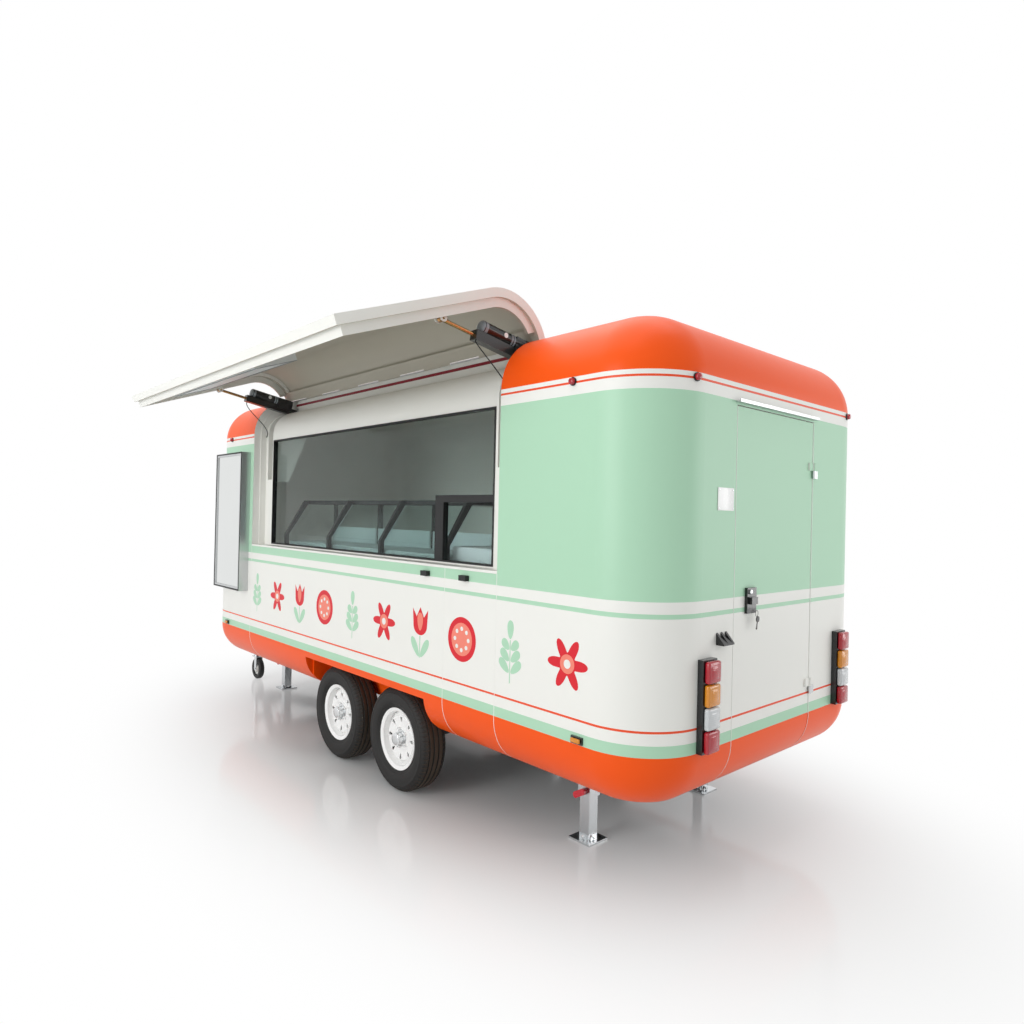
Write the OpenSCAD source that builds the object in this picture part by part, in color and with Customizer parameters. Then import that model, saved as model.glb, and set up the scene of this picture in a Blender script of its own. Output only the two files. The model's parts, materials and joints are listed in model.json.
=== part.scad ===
// Food and beverage trailer: a moulded cabin with a lift-up serving hatch on a tandem-axle chassis.
// Inside in_frame(), X runs forward from the cabin's rear, Y to the left from its middle,
// and Z up from the ground.

/* [Cabin] */
// Length of the cabin
body_l = 4800; // [4600:10:5200]
// Width of the cabin
body_w = 2000; // [1960:10:2200]
// Height of the cabin's underside above the ground
body_bottom = 440; // [430:1:450]
// Height of the roof above the ground
body_top = 2545; // [2520:5:2650]
// Radius of the upright corners, seen from above
corner_r = 320; // [315:1:400]
// Radius of the roof edge
roof_r = 295; // [280:1:300]
// Radius of the belly curve
belly_r = 250; // [245:1:280]
// Height at which the sides start to curve in
belly_z = 655; // [650:1:670]
// Thickness of walls, roof and floor
wall = 60; // [52:1:70]
// Width of the flat lip past the roof edge's curve
roof_lip = 15; // [10:1:18]
// Width of the belly's lip, from the side to the floor panel
floor_lip = 200; // [190:1:220]
// Gap between neighbouring panels
seam = 0.5; // [0.3:0.1:0.8]

/* [Serving hatch] */
// Distance from the cabin's rear to the hatch bay
hatch_rear = 940; // [900:10:1000]
// Length of the cabin's side ahead of the hatch bay
front_l = 860; // [840:10:960]
// Height of the shut hatch's lower edge
hatch_bottom = 1375; // [1360:1:1390]
// Thickness of the hatch
hatch_t = 45; // [40:1:48]
// Width of the flange round the hatch's inside
hatch_rim = 80; // [70:1:90]
// Depth of the recess inside the flange
hatch_recess = 25; // [15:1:30]
// Depth of the standing rib inside the hatch, from its outside
rib_depth = 90; // [80:1:94]
// Thickness of the standing rib
rib_t = 17; // [12:1:18]
// Clearance round the shut hatch
hatch_gap = 5; // [5:0.5:7]
// Angle at which the hatch stands open
hatch_open = 70; // [60:1:75]
// Radius of the hinge knuckles
knuckle_r = 6; // [5:0.5:7]
// Radius of the hinge pin
hinge_pin_r = 4; // [3:0.5:4.5]
// Number of hinge knuckles
knuckle_n = 11; // [7:2:15]

/* [Serving window] */
// How far the window surround lies inside the cabin's side
surround_in = 100; // [98:1:105]
// Thickness of the window surround
surround_t = 40; // [30:1:45]
// Distance from each end of the bay to the window
window_end = 146; // [142:1:150]
// Height of the window above the sill
window_sill = 8; // [5:1:20]
// Height of the window
window_h = 825; // [800:1:840]
// Width of the rubber gasket
gasket_w = 10; // [8:1:16]
// Length of the small sash in the window's lower rear corner
sash_l = 506; // [480:1:530]
// Height of the small sash
sash_h = 371; // [350:1:390]
// Width of the post ahead of the small sash
sash_post = 77; // [60:1:85]
// Height of the rail above the small sash
sash_rail = 40; // [30:1:50]
// Thickness of the panes
glass_t = 6; // [4:1:8]

/* [Hatch actuators] */
// Distance from each end of the bay to the actuator's middle
act_in = 85; // [82:1:90]
// Width of the pocket behind each actuator
pocket_w = 98; // [94:1:102]
// Inset of the base pin from the cabin's side
base_in = 360; // [350:5:370]
// Depth of the base pin below the roof
base_down = 113; // [108:1:118]
// Inset of the hatch pin from the cabin's side, hatch shut
pin_in = 92; // [86:1:96]
// Depth of the hatch pin below the roof, hatch shut
pin_down = 575; // [560:5:590]
// Length of the housing from its base pin
housing_l = 480; // [460:5:485]
// Width of the housing's square tube
housing_w = 50; // [44:1:54]
// Radius of the rod
rod_r = 10; // [8:0.5:12]
// Radius of the pins
act_pin_r = 8; // [6:0.5:9]

/* [Wheels] */
// Distance from the cabin's rear to the middle of the axle pair
axle_mid = 2245; // [2200:5:2300]
// Distance between the axles
axle_pitch = 716; // [700:1:740]
// Outer diameter of the tyres
tyre_d = 610; // [600:1:614]
// Width of the tyres
tyre_w = 175; // [165:1:185]
// Diameter of the rims at the bead
rim_d = 330; // [325:1:335]
// How far the tyres lie inside the cabin's side
wheel_in = 50; // [45:1:60]
// Length of the wheel arch
arch_l = 1425; // [1400:5:1480]
// Height of the arch's upper edge
arch_top = 625; // [622:1:635]
// Thickness of the wheel wells
well_t = 12; // [8:1:16]

/* [Rear door] */
// Width of the door
door_w = 739; // [700:1:760]
// Place of the hinged edge, to the right of the middle
door_hinge_in = 320; // [300:5:330]
// Height of the door's lower edge
door_bottom = 470; // [465:1:480]
// Height of the door's upper edge
door_top = 2155; // [2120:5:2180]
// Clearance round the door
door_gap = 5; // [5:0.5:7]

/* [Chassis] */
// Height of the ball above the ground
ball_h = 430; // [425:1:432]
// Distance from the cabin's front to the ball
tongue_l = 1200; // [1100:10:1300]
// Radius of the ball socket
socket_r = 25.2; // [25:0.1:25.6]
// Depth of the ball socket
socket_l = 45; // [40:1:48]
// Distance between the rails' centres
rail_pitch = 900; // [860:10:940]
// Width of the rails and cross members
rail_w = 50; // [40:1:60]
// Height of the rails
rail_h = 100; // [90:1:102]
// Side of the square axle beams
axle_w = 60; // [50:1:62]
// Width of the leg tubes
leg_w = 64; // [60:1:70]
// Height of the leg tubes above the ground
leg_l = 305; // [295:1:310]
// Distance from the cabin's rear to the rear legs
leg_rear = 740; // [700:5:780]
// Distance from the cabin's front to the front legs
leg_front = 225; // [215:1:260]
// Side of the foot plates
foot_w = 140; // [130:5:150]
// Distance from the cabin's front to the jockey wheel's stem
jockey_ahead = 340; // [300:5:380]
// Place of the jockey wheel's stem, to the left of the middle
jockey_y = 440; // [430:1:460]
// Diameter of the jockey wheel
jockey_d = 200; // [180:5:210]

/* [Fittings] */
// Width of the menu box
menu_w = 550; // [500:10:580]
// Height of the menu box
menu_h = 1120; // [1000:10:1150]
// Distance from the cabin's front to the menu box
menu_front = 250; // [240:5:300]
// Height of the menu box's lower edge
menu_z = 990; // [950:5:1020]
// Depth of the menu box
menu_t = 75; // [60:1:90]
// Side of one tail lamp lens
lens_w = 92; // [85:1:95]
// Height of the tail lamps' lower edge
lamp_z = 666; // [662:1:700]
// Distance of the tail lamps from the cabin's side
lamp_in = 355; // [345:1:370]

/* [Hidden] */
$fn = 96;

orange = "#f0631f";
white = "#efede6";
steel = "#b9bcbf";
zinc = "#a9adb2";
black = "#1c1c1e";
red = "#c2212b";
amber = "#f0a12b";

hw = body_w / 2;
bay_end = body_l - front_l;
hatch_l = bay_end - hatch_rear;
side_top = body_top - roof_r;
hinge_y = hw - roof_r - roof_lip;
hinge_z = body_top + knuckle_r;
sill_z = hatch_bottom - hatch_gap;
sill_board = 13;
sill_wall = sill_z - sill_board - seam;
over = 1;
run = 0.3;

// Places the trailer's own frame on the ball socket's centre
module in_frame() translate([-(body_l + tongue_l), 0, -ball_h]) children();

// Turns the hatch from shut to open about its hinge line
module open_hatch() translate([0, hinge_y, hinge_z]) rotate([hatch_open, 0, 0])
    translate([0, -hinge_y, -hinge_z]) children();

// Runs a section drawn as (Y, Z) along X
module along_x(x0, x1) translate([x0, 0, 0]) rotate([90, 0, 90]) linear_extrude(x1 - x0) children();

// Runs a face drawn as (X, Z) along Y
module along_y(y0, y1) translate([0, y1, 0]) rotate([90, 0, 0]) linear_extrude(y1 - y0) children();

module both_sides() {
    children();
    mirror([0, 1, 0]) children();
}

module box(low, high) translate(low) cube(high - low);

module quarter_ring(r_out, r_in) intersection() {
    difference() {
        circle(r_out);
        circle(r_in);
    }
    square(r_out + over);
}

// Section of a skin between two depths below the cabin's outside, from a height up over the roof edge
module skin(h, depth, depth_in, z0, lip) {
    translate([h - depth_in, z0]) square([depth_in - depth, side_top - z0]);
    translate([h - roof_r, side_top]) quarter_ring(roof_r - depth, roof_r - depth_in);
    translate([h - roof_r - lip, body_top - depth_in]) square([lip, depth_in - depth]);
}

// Region inside the cabin's outline at one depth
module inside(h, depth) {
    square([h - roof_r, body_top - depth]);
    translate([h - roof_r, 0]) square([roof_r - depth, side_top]);
    translate([h - roof_r, side_top]) intersection() {
        circle(roof_r - depth);
        square(roof_r);
    }
}

// Section of the belly, from the side down to the flat underside
module belly(h) translate([h - belly_r, belly_z]) intersection() {
    difference() {
        circle(belly_r);
        circle(belly_r - wall);
    }
    translate([belly_r - floor_lip, body_bottom - belly_z]) square([floor_lip + over, belly_z - body_bottom]);
}

module wall_section(h) {
    skin(h, 0, wall, belly_z, roof_lip);
    belly(h);
}

// Flat stretch of the cabin's end, between its corners
module end_wall() translate([corner_r, 0, 0]) rotate(90) rotate([90, 0, 90])
    linear_extrude(body_w - 2 * corner_r, center = true) wall_section(corner_r);

// End of the cabin with its corners and a stretch of both sides
module end_cap(length) {
    end_wall();
    both_sides() {
        translate([corner_r, hw - corner_r, 0]) rotate(90) rotate_extrude(angle = 90) wall_section(corner_r);
        along_x(corner_r, length) wall_section(hw);
    }
}

door_y0 = -door_hinge_in;
door_y1 = door_y0 + door_w;
door_pin_x = -9;
door_pin_r = 5;
door_knuckle_r = 8;
door_knuckle_l = 80;
door_half_l = door_knuckle_l / 2 - over;
door_hinge_z = [805, 1909];
door_lip_in = 190;

// Space of the door, grown by a clearance; its free edge is round about the hinge so that it swings clear
module door_space(grow) intersection() {
    box([-over, door_y0 - grow, door_bottom - grow],
        [floor_lip + over, door_y1 + grow + over, door_top + grow]);
    translate([door_pin_x, door_y0, 0]) cylinder(r = door_w + grow, h = body_top);
}

module rear_shell() color(orange) in_frame() difference() {
    end_cap(hatch_rear - seam);
    door_space(door_gap);
}

module front_shell() color(orange) in_frame() translate([body_l, 0, 0]) mirror([1, 0, 0])
    end_cap(body_l - bay_end - seam);

arch_x0 = axle_mid - arch_l / 2;
arch_x1 = axle_mid + arch_l / 2;
wheel_y = hw - wheel_in - tyre_w / 2;
well_room = 33;
well_y = wheel_y - tyre_w / 2 - well_room;
well_top = 690;

module arch_space() box([arch_x0, hw - floor_lip - over, 0], [arch_x1, hw + over, arch_top]);

module right_wall() color(white) in_frame() mirror([0, 1, 0]) difference() {
    along_x(hatch_rear, bay_end) wall_section(hw);
    arch_space();
}

sill_t = 30;
module left_wall() color(white) in_frame() difference() {
    along_x(hatch_rear, bay_end) {
        belly(hw);
        translate([hw - wall, belly_z]) square([wall, sill_wall - belly_z]);
        translate([hw - surround_in - surround_t, sill_wall - sill_t])
            square([surround_in + surround_t - wall + over, sill_t]);
    }
    arch_space();
}

// Plan of a flat panel that lies a distance inside the cabin's outline, with the cabin's corners
module panel_plan(in) {
    r = corner_r - in;
    translate([corner_r, -hw + in]) square([body_l - 2 * corner_r, body_w - 2 * in]);
    for (end = [0, 1]) translate([end * body_l, 0]) mirror([end, 0]) {
        translate([in, -hw + corner_r]) square([r, body_w - 2 * corner_r]);
        for (side = [0, 1]) mirror([0, side]) translate([corner_r, hw - corner_r]) rotate(90)
            quarter_ring(r, 0);
    }
}

module roof_panel() color(orange) in_frame()
    translate([0, 0, body_top - wall]) linear_extrude(wall) panel_plan(roof_r + roof_lip + seam);

module floor_panel() color(steel) in_frame() difference() {
    translate([0, 0, body_bottom]) linear_extrude(wall) panel_plan(floor_lip + seam);
    both_sides() box([arch_x0, well_y - seam, 0], [arch_x1, hw, body_top]);
}

window_x0 = hatch_rear + window_end;
window_x1 = bay_end - window_end;
window_z0 = sill_z + window_sill;
window_z1 = window_z0 + window_h;
surround_out = hw - surround_in;
closer_t = 1.5;
closer_gap = 7;
jamb_t = 10;
jamb_out = 52;
pocket_t = 6;
pocket_z = 1890;
// Middle of the rear and front actuators
act_x = [hatch_rear + act_in, bay_end - act_in];
mouth_back = 60;

module window_surround() color(white) in_frame() difference() {
    union() {
        along_x(hatch_rear + seam, bay_end - seam) {
            skin(hw, surround_in, surround_in + surround_t, sill_z - over, roof_lip);
            translate([surround_out - surround_t, sill_z - sill_board])
                square([surround_in + surround_t, sill_board]);
            translate([hinge_y, body_top - surround_in - surround_t])
                square([closer_t, surround_in + surround_t - closer_gap]);
        }
        for (x = [hatch_rear + seam, bay_end - seam - jamb_t]) along_x(x, x + jamb_t)
            skin(hw, jamb_out, surround_in + over, sill_z - over, roof_lip);
    }
    box([window_x0, 0, window_z0], [window_x1, hw, window_z1]);
    for (x = act_x) box([x - pocket_w / 2 + pocket_t, base_y - mouth_back, pocket_z],
                        [x + pocket_w / 2 - pocket_t, hw, body_top]);
}

base_y = hw - base_in;
base_z = body_top - base_down;
pin_y = hw - pin_in;
pin_z = body_top - pin_down;

pocket_back = 70;
pocket_foot = 150;
// Outline of the pocket behind the surround, drawn in by a wall thickness
module pocket_outline(t) polygon([
    [base_y - pocket_back + t, body_top],
    [base_y - pocket_back + t, base_z - pocket_back],
    [pin_y - pocket_foot + t, pocket_z - 2 * pocket_t + 2 * t],
    [hw, pocket_z - 2 * pocket_t + 2 * t],
    [hw, body_top]
]);

module actuator_pockets() color(white) in_frame() for (x = act_x) {
    difference() {
        along_x(x - pocket_w / 2, x + pocket_w / 2) intersection() {
            pocket_outline(0);
            union() {
                inside(hw, surround_in + surround_t + seam);
                square([hinge_y - seam, body_top - wall - seam]);
            }
        }
        along_x(x - pocket_w / 2 + pocket_t, x + pocket_w / 2 - pocket_t) pocket_outline(pocket_t);
    }
    translate([x, base_y, base_z]) rotate([0, 90, 0])
        cylinder(r = act_pin_r, h = pocket_w - 2 * pocket_t, center = true);
}

knuckle_x = hatch_rear + hatch_gap;
knuckle_l = (hatch_l - 2 * hatch_gap) / knuckle_n;
leaf_w = 32;
leaf_t = 1.5;

// Knuckles of one hinge leaf, every second one from the given first
module knuckles(first, bore) for (i = [first : 2 : knuckle_n - 1])
    translate([knuckle_x + i * knuckle_l + over, hinge_y, hinge_z]) rotate([0, 90, 0]) difference() {
        cylinder(r = knuckle_r, h = knuckle_l - 2 * over);
        translate([0, 0, -over]) cylinder(r = bore, h = knuckle_l);
    }

module hatch_hinge() color(steel) in_frame() {
    box([hatch_rear + hatch_gap, hinge_y - knuckle_r - leaf_w, body_top],
        [bay_end - hatch_gap, hinge_y - knuckle_r + over, body_top + leaf_t]);
    translate([hatch_rear + hatch_gap, hinge_y, hinge_z]) rotate([0, 90, 0])
        cylinder(r = hinge_pin_r, h = hatch_l - 2 * hatch_gap);
    for (i = [0 : 2 : knuckle_n - 1]) translate([knuckle_x + i * knuckle_l + over, hinge_y, hinge_z]) {
        rotate([0, 90, 0]) cylinder(r = knuckle_r, h = knuckle_l - 2 * over);
        translate([0, -knuckle_r - leaf_t, -knuckle_r]) cube([knuckle_l - 2 * over, knuckle_r, knuckle_r]);
    }
}

gasket_d = 36;
gasket_out = 4;
glass_in = 18;
gasket_y1 = surround_out + gasket_out;
gasket_y0 = gasket_y1 - gasket_d;
glass_y = surround_out - glass_in;
stop_x = [1183, 1523];
stop_z = 1318;
stop_w = 56;
stop_h = 28;
stop_t = 26;
// Outer faces of the gasket and of the small sash, and the gasket's inner faces
gasket_x = [window_x0 + seam, window_x1 - seam];
gasket_z = [window_z0 + seam, window_z1 - seam];
clear_x = [gasket_x[0] + gasket_w, gasket_x[1] - gasket_w];
clear_z = [gasket_z[0] + gasket_w, gasket_z[1] - gasket_w];
sash_x = gasket_x[0] + sash_l;
sash_z = gasket_z[0] + sash_h;

// Outline of the main pane, which is cut out round the small sash, drawn in by a clearance
module main_pane(in) polygon([
    [sash_x + in, clear_z[0] + in], [clear_x[1] - in, clear_z[0] + in], [clear_x[1] - in, clear_z[1] - in],
    [clear_x[0] + in, clear_z[1] - in], [clear_x[0] + in, sash_z + in], [sash_x + in, sash_z + in]
]);

// Outline of the small sash's pane, drawn in by a clearance
module sash_pane(in) translate([clear_x[0] + in, clear_z[0] + in])
    square([sash_x - sash_post - clear_x[0] - 2 * in, sash_z - sash_rail - clear_z[0] - 2 * in]);

module window_gasket() color(black) in_frame() {
    along_y(gasket_y0, gasket_y1) difference() {
        translate([gasket_x[0], gasket_z[0]]) square([gasket_x[1] - gasket_x[0], gasket_z[1] - gasket_z[0]]);
        main_pane(0);
        sash_pane(0);
    }
    for (x = stop_x) box([x - stop_w / 2, hw + seam, stop_z - stop_h / 2],
                         [x + stop_w / 2, hw + stop_t, stop_z + stop_h / 2]);
}

module glazing() color("#b9c6c8", 0.4) in_frame() along_y(glass_y, glass_y + glass_t) {
    main_pane(seam);
    sash_pane(seam);
}

floor_z = body_bottom + wall;
counter_in = 150;
counter_d = 550;
counter_y = [hw - counter_in - counter_d, hw - counter_in];
counter_end = 30;
counter_x = [window_x0 + counter_end, window_x1 - counter_end];
counter_z = 1300;
counter_top_t = 40;
plinth_in = 50;
module counter() color("#c7d2d6") in_frame() {
    box([counter_x[0] + plinth_in, counter_y[0] + plinth_in, floor_z + seam],
        [counter_x[1] - plinth_in, min(counter_y[1], well_y) - plinth_in, counter_z - counter_top_t]);
    box([counter_x[0], counter_y[0], counter_z - counter_top_t], [counter_x[1], counter_y[1], counter_z]);
}

case_in = [60, 30];
case_x = [sash_x, counter_x[1] - case_in[1]];
case_y = [counter_y[0] + case_in[0], counter_y[1] - case_in[1]];
case_top = 1730;
case_bar = 28;
case_slope = 160;
case_bays = 3;

// Front outline of the display case, drawn as (Y, Z)
module case_outline(t) polygon([
    [case_y[0] + t, counter_z + t + seam],
    [case_y[1] - t, counter_z + t + seam],
    [case_y[1] - t, counter_z + case_slope],
    [case_y[1] - case_slope - t, case_top - t],
    [case_y[0] + t, case_top - t]
]);

case_step = (case_x[1] - case_x[0] - case_bar) / case_bays;
module display_frame() color(black) in_frame() {
    for (x = [case_x[0] : case_step : case_x[1] - case_bar + over]) along_x(x, x + case_bar) difference() {
        case_outline(0);
        case_outline(case_bar);
    }
    for (y = [case_y[0], case_y[1] - case_slope - 2 * case_bar])
        box([case_x[0], y, case_top - case_bar], [case_x[1], y + case_bar, case_top]);
    for (y = [case_y[0], case_y[1] - case_bar])
        box([case_x[0], y, counter_z + seam], [case_x[1], y + case_bar, counter_z + case_bar + seam]);
}

pane_t = 6;
module display_glass() color("#b9c6c8", 0.4) in_frame()
    for (x = [case_x[0] : case_step : case_x[1] - case_step])
        along_x(x + case_bar + seam, x + case_step - seam) difference() {
            case_outline(case_bar + seam);
            case_outline(case_bar + seam + pane_t);
        }

menu_x = [body_l - menu_front - menu_w, body_l - menu_front];
menu_frame_w = 26;
menu_lip = 8;
menu_pane_in = menu_frame_w + seam;
module menu_frame() color(steel) in_frame() difference() {
    box([menu_x[0], hw + seam, menu_z], [menu_x[1], hw + seam + menu_t, menu_z + menu_h]);
    box([menu_x[0] + menu_frame_w, hw + menu_t - pane_t - menu_lip, menu_z + menu_frame_w],
        [menu_x[1] - menu_frame_w, hw + menu_t + seam + over, menu_z + menu_h - menu_frame_w]);
}

module menu_glass() color("#2a3033") in_frame()
    box([menu_x[0] + menu_pane_in, hw + menu_t - pane_t - menu_lip + seam, menu_z + menu_pane_in],
        [menu_x[1] - menu_pane_in, hw + menu_t - menu_lip + seam, menu_z + menu_h - menu_pane_in]);

well_in = 3;
// Section of a wheel well's end, inside the belly's curve
module well_outline() intersection() {
    translate([well_y, body_bottom]) square([hw - wall - well_in - well_y, well_top - body_bottom]);
    union() {
        translate([hw - belly_r, belly_z]) circle(belly_r - 2);
        translate([0, belly_z]) square([hw, well_top]);
        square([hw - belly_r, body_top]);
    }
}

module wheel_wells() color(orange) in_frame() both_sides() difference() {
    along_x(arch_x0 + seam, arch_x1 - seam) well_outline();
    box([arch_x0 + well_t, well_y + well_t, 0], [arch_x1 - well_t, hw, well_top - well_t]);
}

rail_z = [body_bottom - seam - rail_h, body_bottom - seam];
rail_y = [(rail_pitch - rail_w) / 2, (rail_pitch + rail_w) / 2];
rail_rear = 420;
rail_end = 60;
module chassis_rails() color(black) in_frame() both_sides()
    box([rail_rear, rail_y[0], rail_z[0]], [body_l - rail_end, rail_y[1], rail_z[1]]);

member_n = 7;
member_in = rail_y[0] - seam;
member_up = 10;
member_step = (body_l - rail_end - rail_rear - rail_w) / (member_n - 1);
module cross_members() color(black) in_frame() for (i = [0 : member_n - 1])
    translate([rail_rear + i * member_step, 0, 0])
        box([0, -member_in, rail_z[0] + member_up], [rail_w, member_in, rail_z[1]]);

nose_back = 100;
nose_x = body_l + tongue_l - nose_back;
bar_w = 60;
module drawbar() color(black) in_frame() both_sides()
    translate([0, 0, rail_z[0]]) linear_extrude(rail_h) polygon([
        [body_l - rail_end + seam, rail_y[0]],
        [body_l - rail_end + seam, rail_y[0] + bar_w],
        [nose_x, bar_w + seam],
        [nose_x, seam]
    ]);

ball_x = body_l + tongue_l;
socket_wall = 14;
coupler_w = 84;
coupler_t = 30;
coupler_back = 190;
coupler_z = rail_z[1] + seam;
coupler_top = coupler_z + coupler_t;
// Height of the socket's mouth: the ball's middle lies a little above the middle of the socket
socket_z = ball_h - socket_l + 20;
lever = [150, 18, 14];
lever_back = 60;
lever_slope = 25;
module coupler() color(zinc) in_frame() difference() {
    union() {
        box([nose_x - coupler_back, -coupler_w / 2, coupler_z], [ball_x, coupler_w / 2, coupler_top]);
        translate([ball_x, 0, socket_z]) cylinder(r = socket_r + socket_wall, h = coupler_top - socket_z);
        translate([nose_x - lever_back, -lever[1] / 2, coupler_top - over])
            rotate([0, -lever_slope, 0]) cube(lever);
    }
    translate([ball_x, 0, socket_z - over]) cylinder(r = socket_r, h = socket_l + over);
}

hub_z = tyre_d / 2;
axle_x = [axle_mid - axle_pitch / 2, axle_mid + axle_pitch / 2];
hub_in = 30;
hub_y = wheel_y - hub_in;
hub_t = 20;
spindle_r = 30;
spindle_out = 42;
spindle_y = wheel_y + spindle_out;
hub_r = 70;
saddle_l = 140;
module axles() color(black) in_frame() for (x = axle_x) {
    box([x - axle_w / 2, hub_t - hub_y, hub_z - axle_w / 2],
        [x + axle_w / 2, hub_y - hub_t, hub_z + axle_w / 2]);
    both_sides() {
        translate([x, hub_y - hub_t - over, hub_z]) rotate([-90, 0, 0]) cylinder(r = hub_r, h = hub_t);
        translate([x, hub_y - 2 * over, hub_z]) rotate([-90, 0, 0])
            cylinder(r = spindle_r, h = spindle_y - hub_y + 2 * over);
        box([x - saddle_l / 2, rail_y[0], hub_z + axle_w / 2 - over],
            [x + saddle_l / 2, rail_y[1], rail_z[0] - seam]);
    }
}

// Half of a tyre's section as (radius, offset from the middle), from the bead round to the tread's middle
bead_r = rim_d / 2 + 0.4;
groove = 8;
flange_r = rim_d / 2 + 16;
rim_w = 120;
tyre_half = [
    [bead_r, rim_w / 2 - 4], [flange_r + 2, rim_w / 2 + 3],
    [bead_r + 55, tyre_w / 2], [tyre_d / 2 - 32, tyre_w / 2 - 3], [tyre_d / 2 - 8, tyre_w / 2 - 20],
    [tyre_d / 2, tyre_w / 2 - 34], [tyre_d / 2, 32], [tyre_d / 2 - groove, 30],
    [tyre_d / 2 - groove, 24], [tyre_d / 2, 22], [tyre_d / 2, 4], [tyre_d / 2 - groove, 3]
];

// Turns a wheel's profile about its axle, with its outside to the left
module on_axle(end, side) translate([axle_x[end], side * wheel_y, hub_z]) rotate([-90, 0, side > 0 ? 0 : 180])
    children();

module tyre(end, side) color(black) in_frame() on_axle(end, side) rotate_extrude() polygon(concat(
    tyre_half,
    [for (i = [len(tyre_half) - 1 : -1 : 0]) [tyre_half[i][0], -tyre_half[i][1]]]
));

rim_t = 5;
disc_z = 26;
vent_n = 8;
vent_pitch_r = 116;
vent_r = 10;
vent_l = 26;
stud_n = 5;
stud_pitch_r = 57;
stud_r = 10;
stud_h = 15;
cap_r = 36;
cap_h = 46;
cap_bore = 30;
// Profile of the rim's barrel and dished disc, drawn as (radius, offset from the middle)
module rim_profile() {
    polygon([
        [rim_d / 2 - rim_t, -rim_w / 2], [rim_d / 2 - rim_t, rim_w / 2], [flange_r, rim_w / 2 + 8],
        [flange_r, rim_w / 2 + 4], [rim_d / 2, rim_w / 2 - 2], [rim_d / 2, -rim_w / 2 + 2],
        [flange_r, -rim_w / 2 - 4], [flange_r, -rim_w / 2 - 8]
    ]);
    polygon([
        [spindle_r + run, disc_z - 10], [spindle_r + run, disc_z + 10], [80, disc_z + 10], [128, disc_z + 16],
        [rim_d / 2 - rim_t + 1, disc_z - 14], [rim_d / 2 - rim_t + 1, disc_z - 24], [126, disc_z + 8],
        [80, disc_z - 10]
    ]);
}

// Teardrop vent of the rim's disc, with its point towards the hub
module vent() translate([vent_pitch_r, 0]) {
    circle(vent_r);
    polygon([[-vent_l, 0], vent_r * [-vent_r / vent_l, sqrt(1 - pow(vent_r / vent_l, 2))],
             vent_r * [-vent_r / vent_l, -sqrt(1 - pow(vent_r / vent_l, 2))]]);
}

module rim(end, side) color(white) in_frame() on_axle(end, side) {
    difference() {
        rotate_extrude() rim_profile();
        for (i = [0 : vent_n - 1]) rotate(i * 360 / vent_n) linear_extrude(3 * disc_z) vent();
    }
    for (i = [0 : stud_n - 1]) rotate(i * 360 / stud_n) translate([stud_pitch_r, 0, disc_z + 9])
        cylinder(r = stud_r, h = stud_h, $fn = 6);
    translate([0, 0, disc_z + 9]) difference() {
        cylinder(r = cap_r, h = cap_h);
        translate([0, 0, -over]) cylinder(r = spindle_r + run, h = cap_bore);
    }
}

leg_gap = 0.5;
sleeve_t = 7;
sleeve_out = leg_w / 2 + leg_gap + sleeve_t;
sleeve_z = 225;
leg_wall = 5;
foot_t = 10;
leg_y = [rail_y[1] + seam + sleeve_out, rail_y[0] - seam - sleeve_out];
leg_x = [leg_rear, body_l - leg_front];

module square_tube(out, inner, z0, z1) difference() {
    box([-out, -out, z0], [out, out, z1]);
    box([-inner, -inner, z0 - over], [inner, inner, z1 + over]);
}

module leg_sleeves() color(zinc) in_frame() for (end = [0, 1]) both_sides()
    translate([leg_x[end], leg_y[end], 0]) square_tube(sleeve_out, leg_w / 2 + leg_gap, sleeve_z, rail_z[1]);

module leg(end, side) color(zinc) in_frame() translate([leg_x[end], side * leg_y[end], 0]) {
    square_tube(leg_w / 2, leg_w / 2 - leg_wall, foot_t - over, leg_l);
    box([-foot_w / 2, -foot_w / 2, 0], [foot_w / 2, foot_w / 2, foot_t]);
}

jockey_x = body_l + jockey_ahead;
stem_r = 22;
tube_r = 28;
jockey_tube_z = [345, 690];
crown_t = 10;
crown_gap = 6;
crown_z = jockey_d + crown_gap + crown_t;
stem_z = [crown_z + run, 680];
clamp_w = 70;
clamp_in = 20;
bar_slope = rail_y[0] / (nose_x - body_l + rail_end);
// Left face of the drawbar beside the jockey wheel
bar_face_y = bar_w + (nose_x - jockey_x + clamp_w / 2) * bar_slope + 1;
module jockey_tube() color(zinc) in_frame() translate([jockey_x, 0, 0]) difference() {
    union() {
        translate([0, jockey_y, jockey_tube_z[0]])
            cylinder(r = tube_r, h = jockey_tube_z[1] - jockey_tube_z[0]);
        box([-clamp_w / 2, bar_face_y, rail_z[0] + clamp_in], [clamp_w / 2, jockey_y, rail_z[1] - clamp_in]);
    }
    translate([0, jockey_y, jockey_tube_z[0] - over]) cylinder(r = stem_r + run, h = jockey_tube_z[1]);
}

grip_z = 25;
grip_r = 8;
grip_l = 36;
grip_w = 84;
grip_turn = 30;
collar_h = 14;
crank = [110, 16, 10];
crank_grip_r = 10;
crank_grip_l = 90;
// Oval plate of a leg's handle
module grip() {
    for (side = [-1, 1]) translate([side * (grip_w / 2 - 2 * grip_r), 0]) circle(2 * grip_r);
    square([grip_w - 4 * grip_r, 4 * grip_r], center = true);
}

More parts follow.
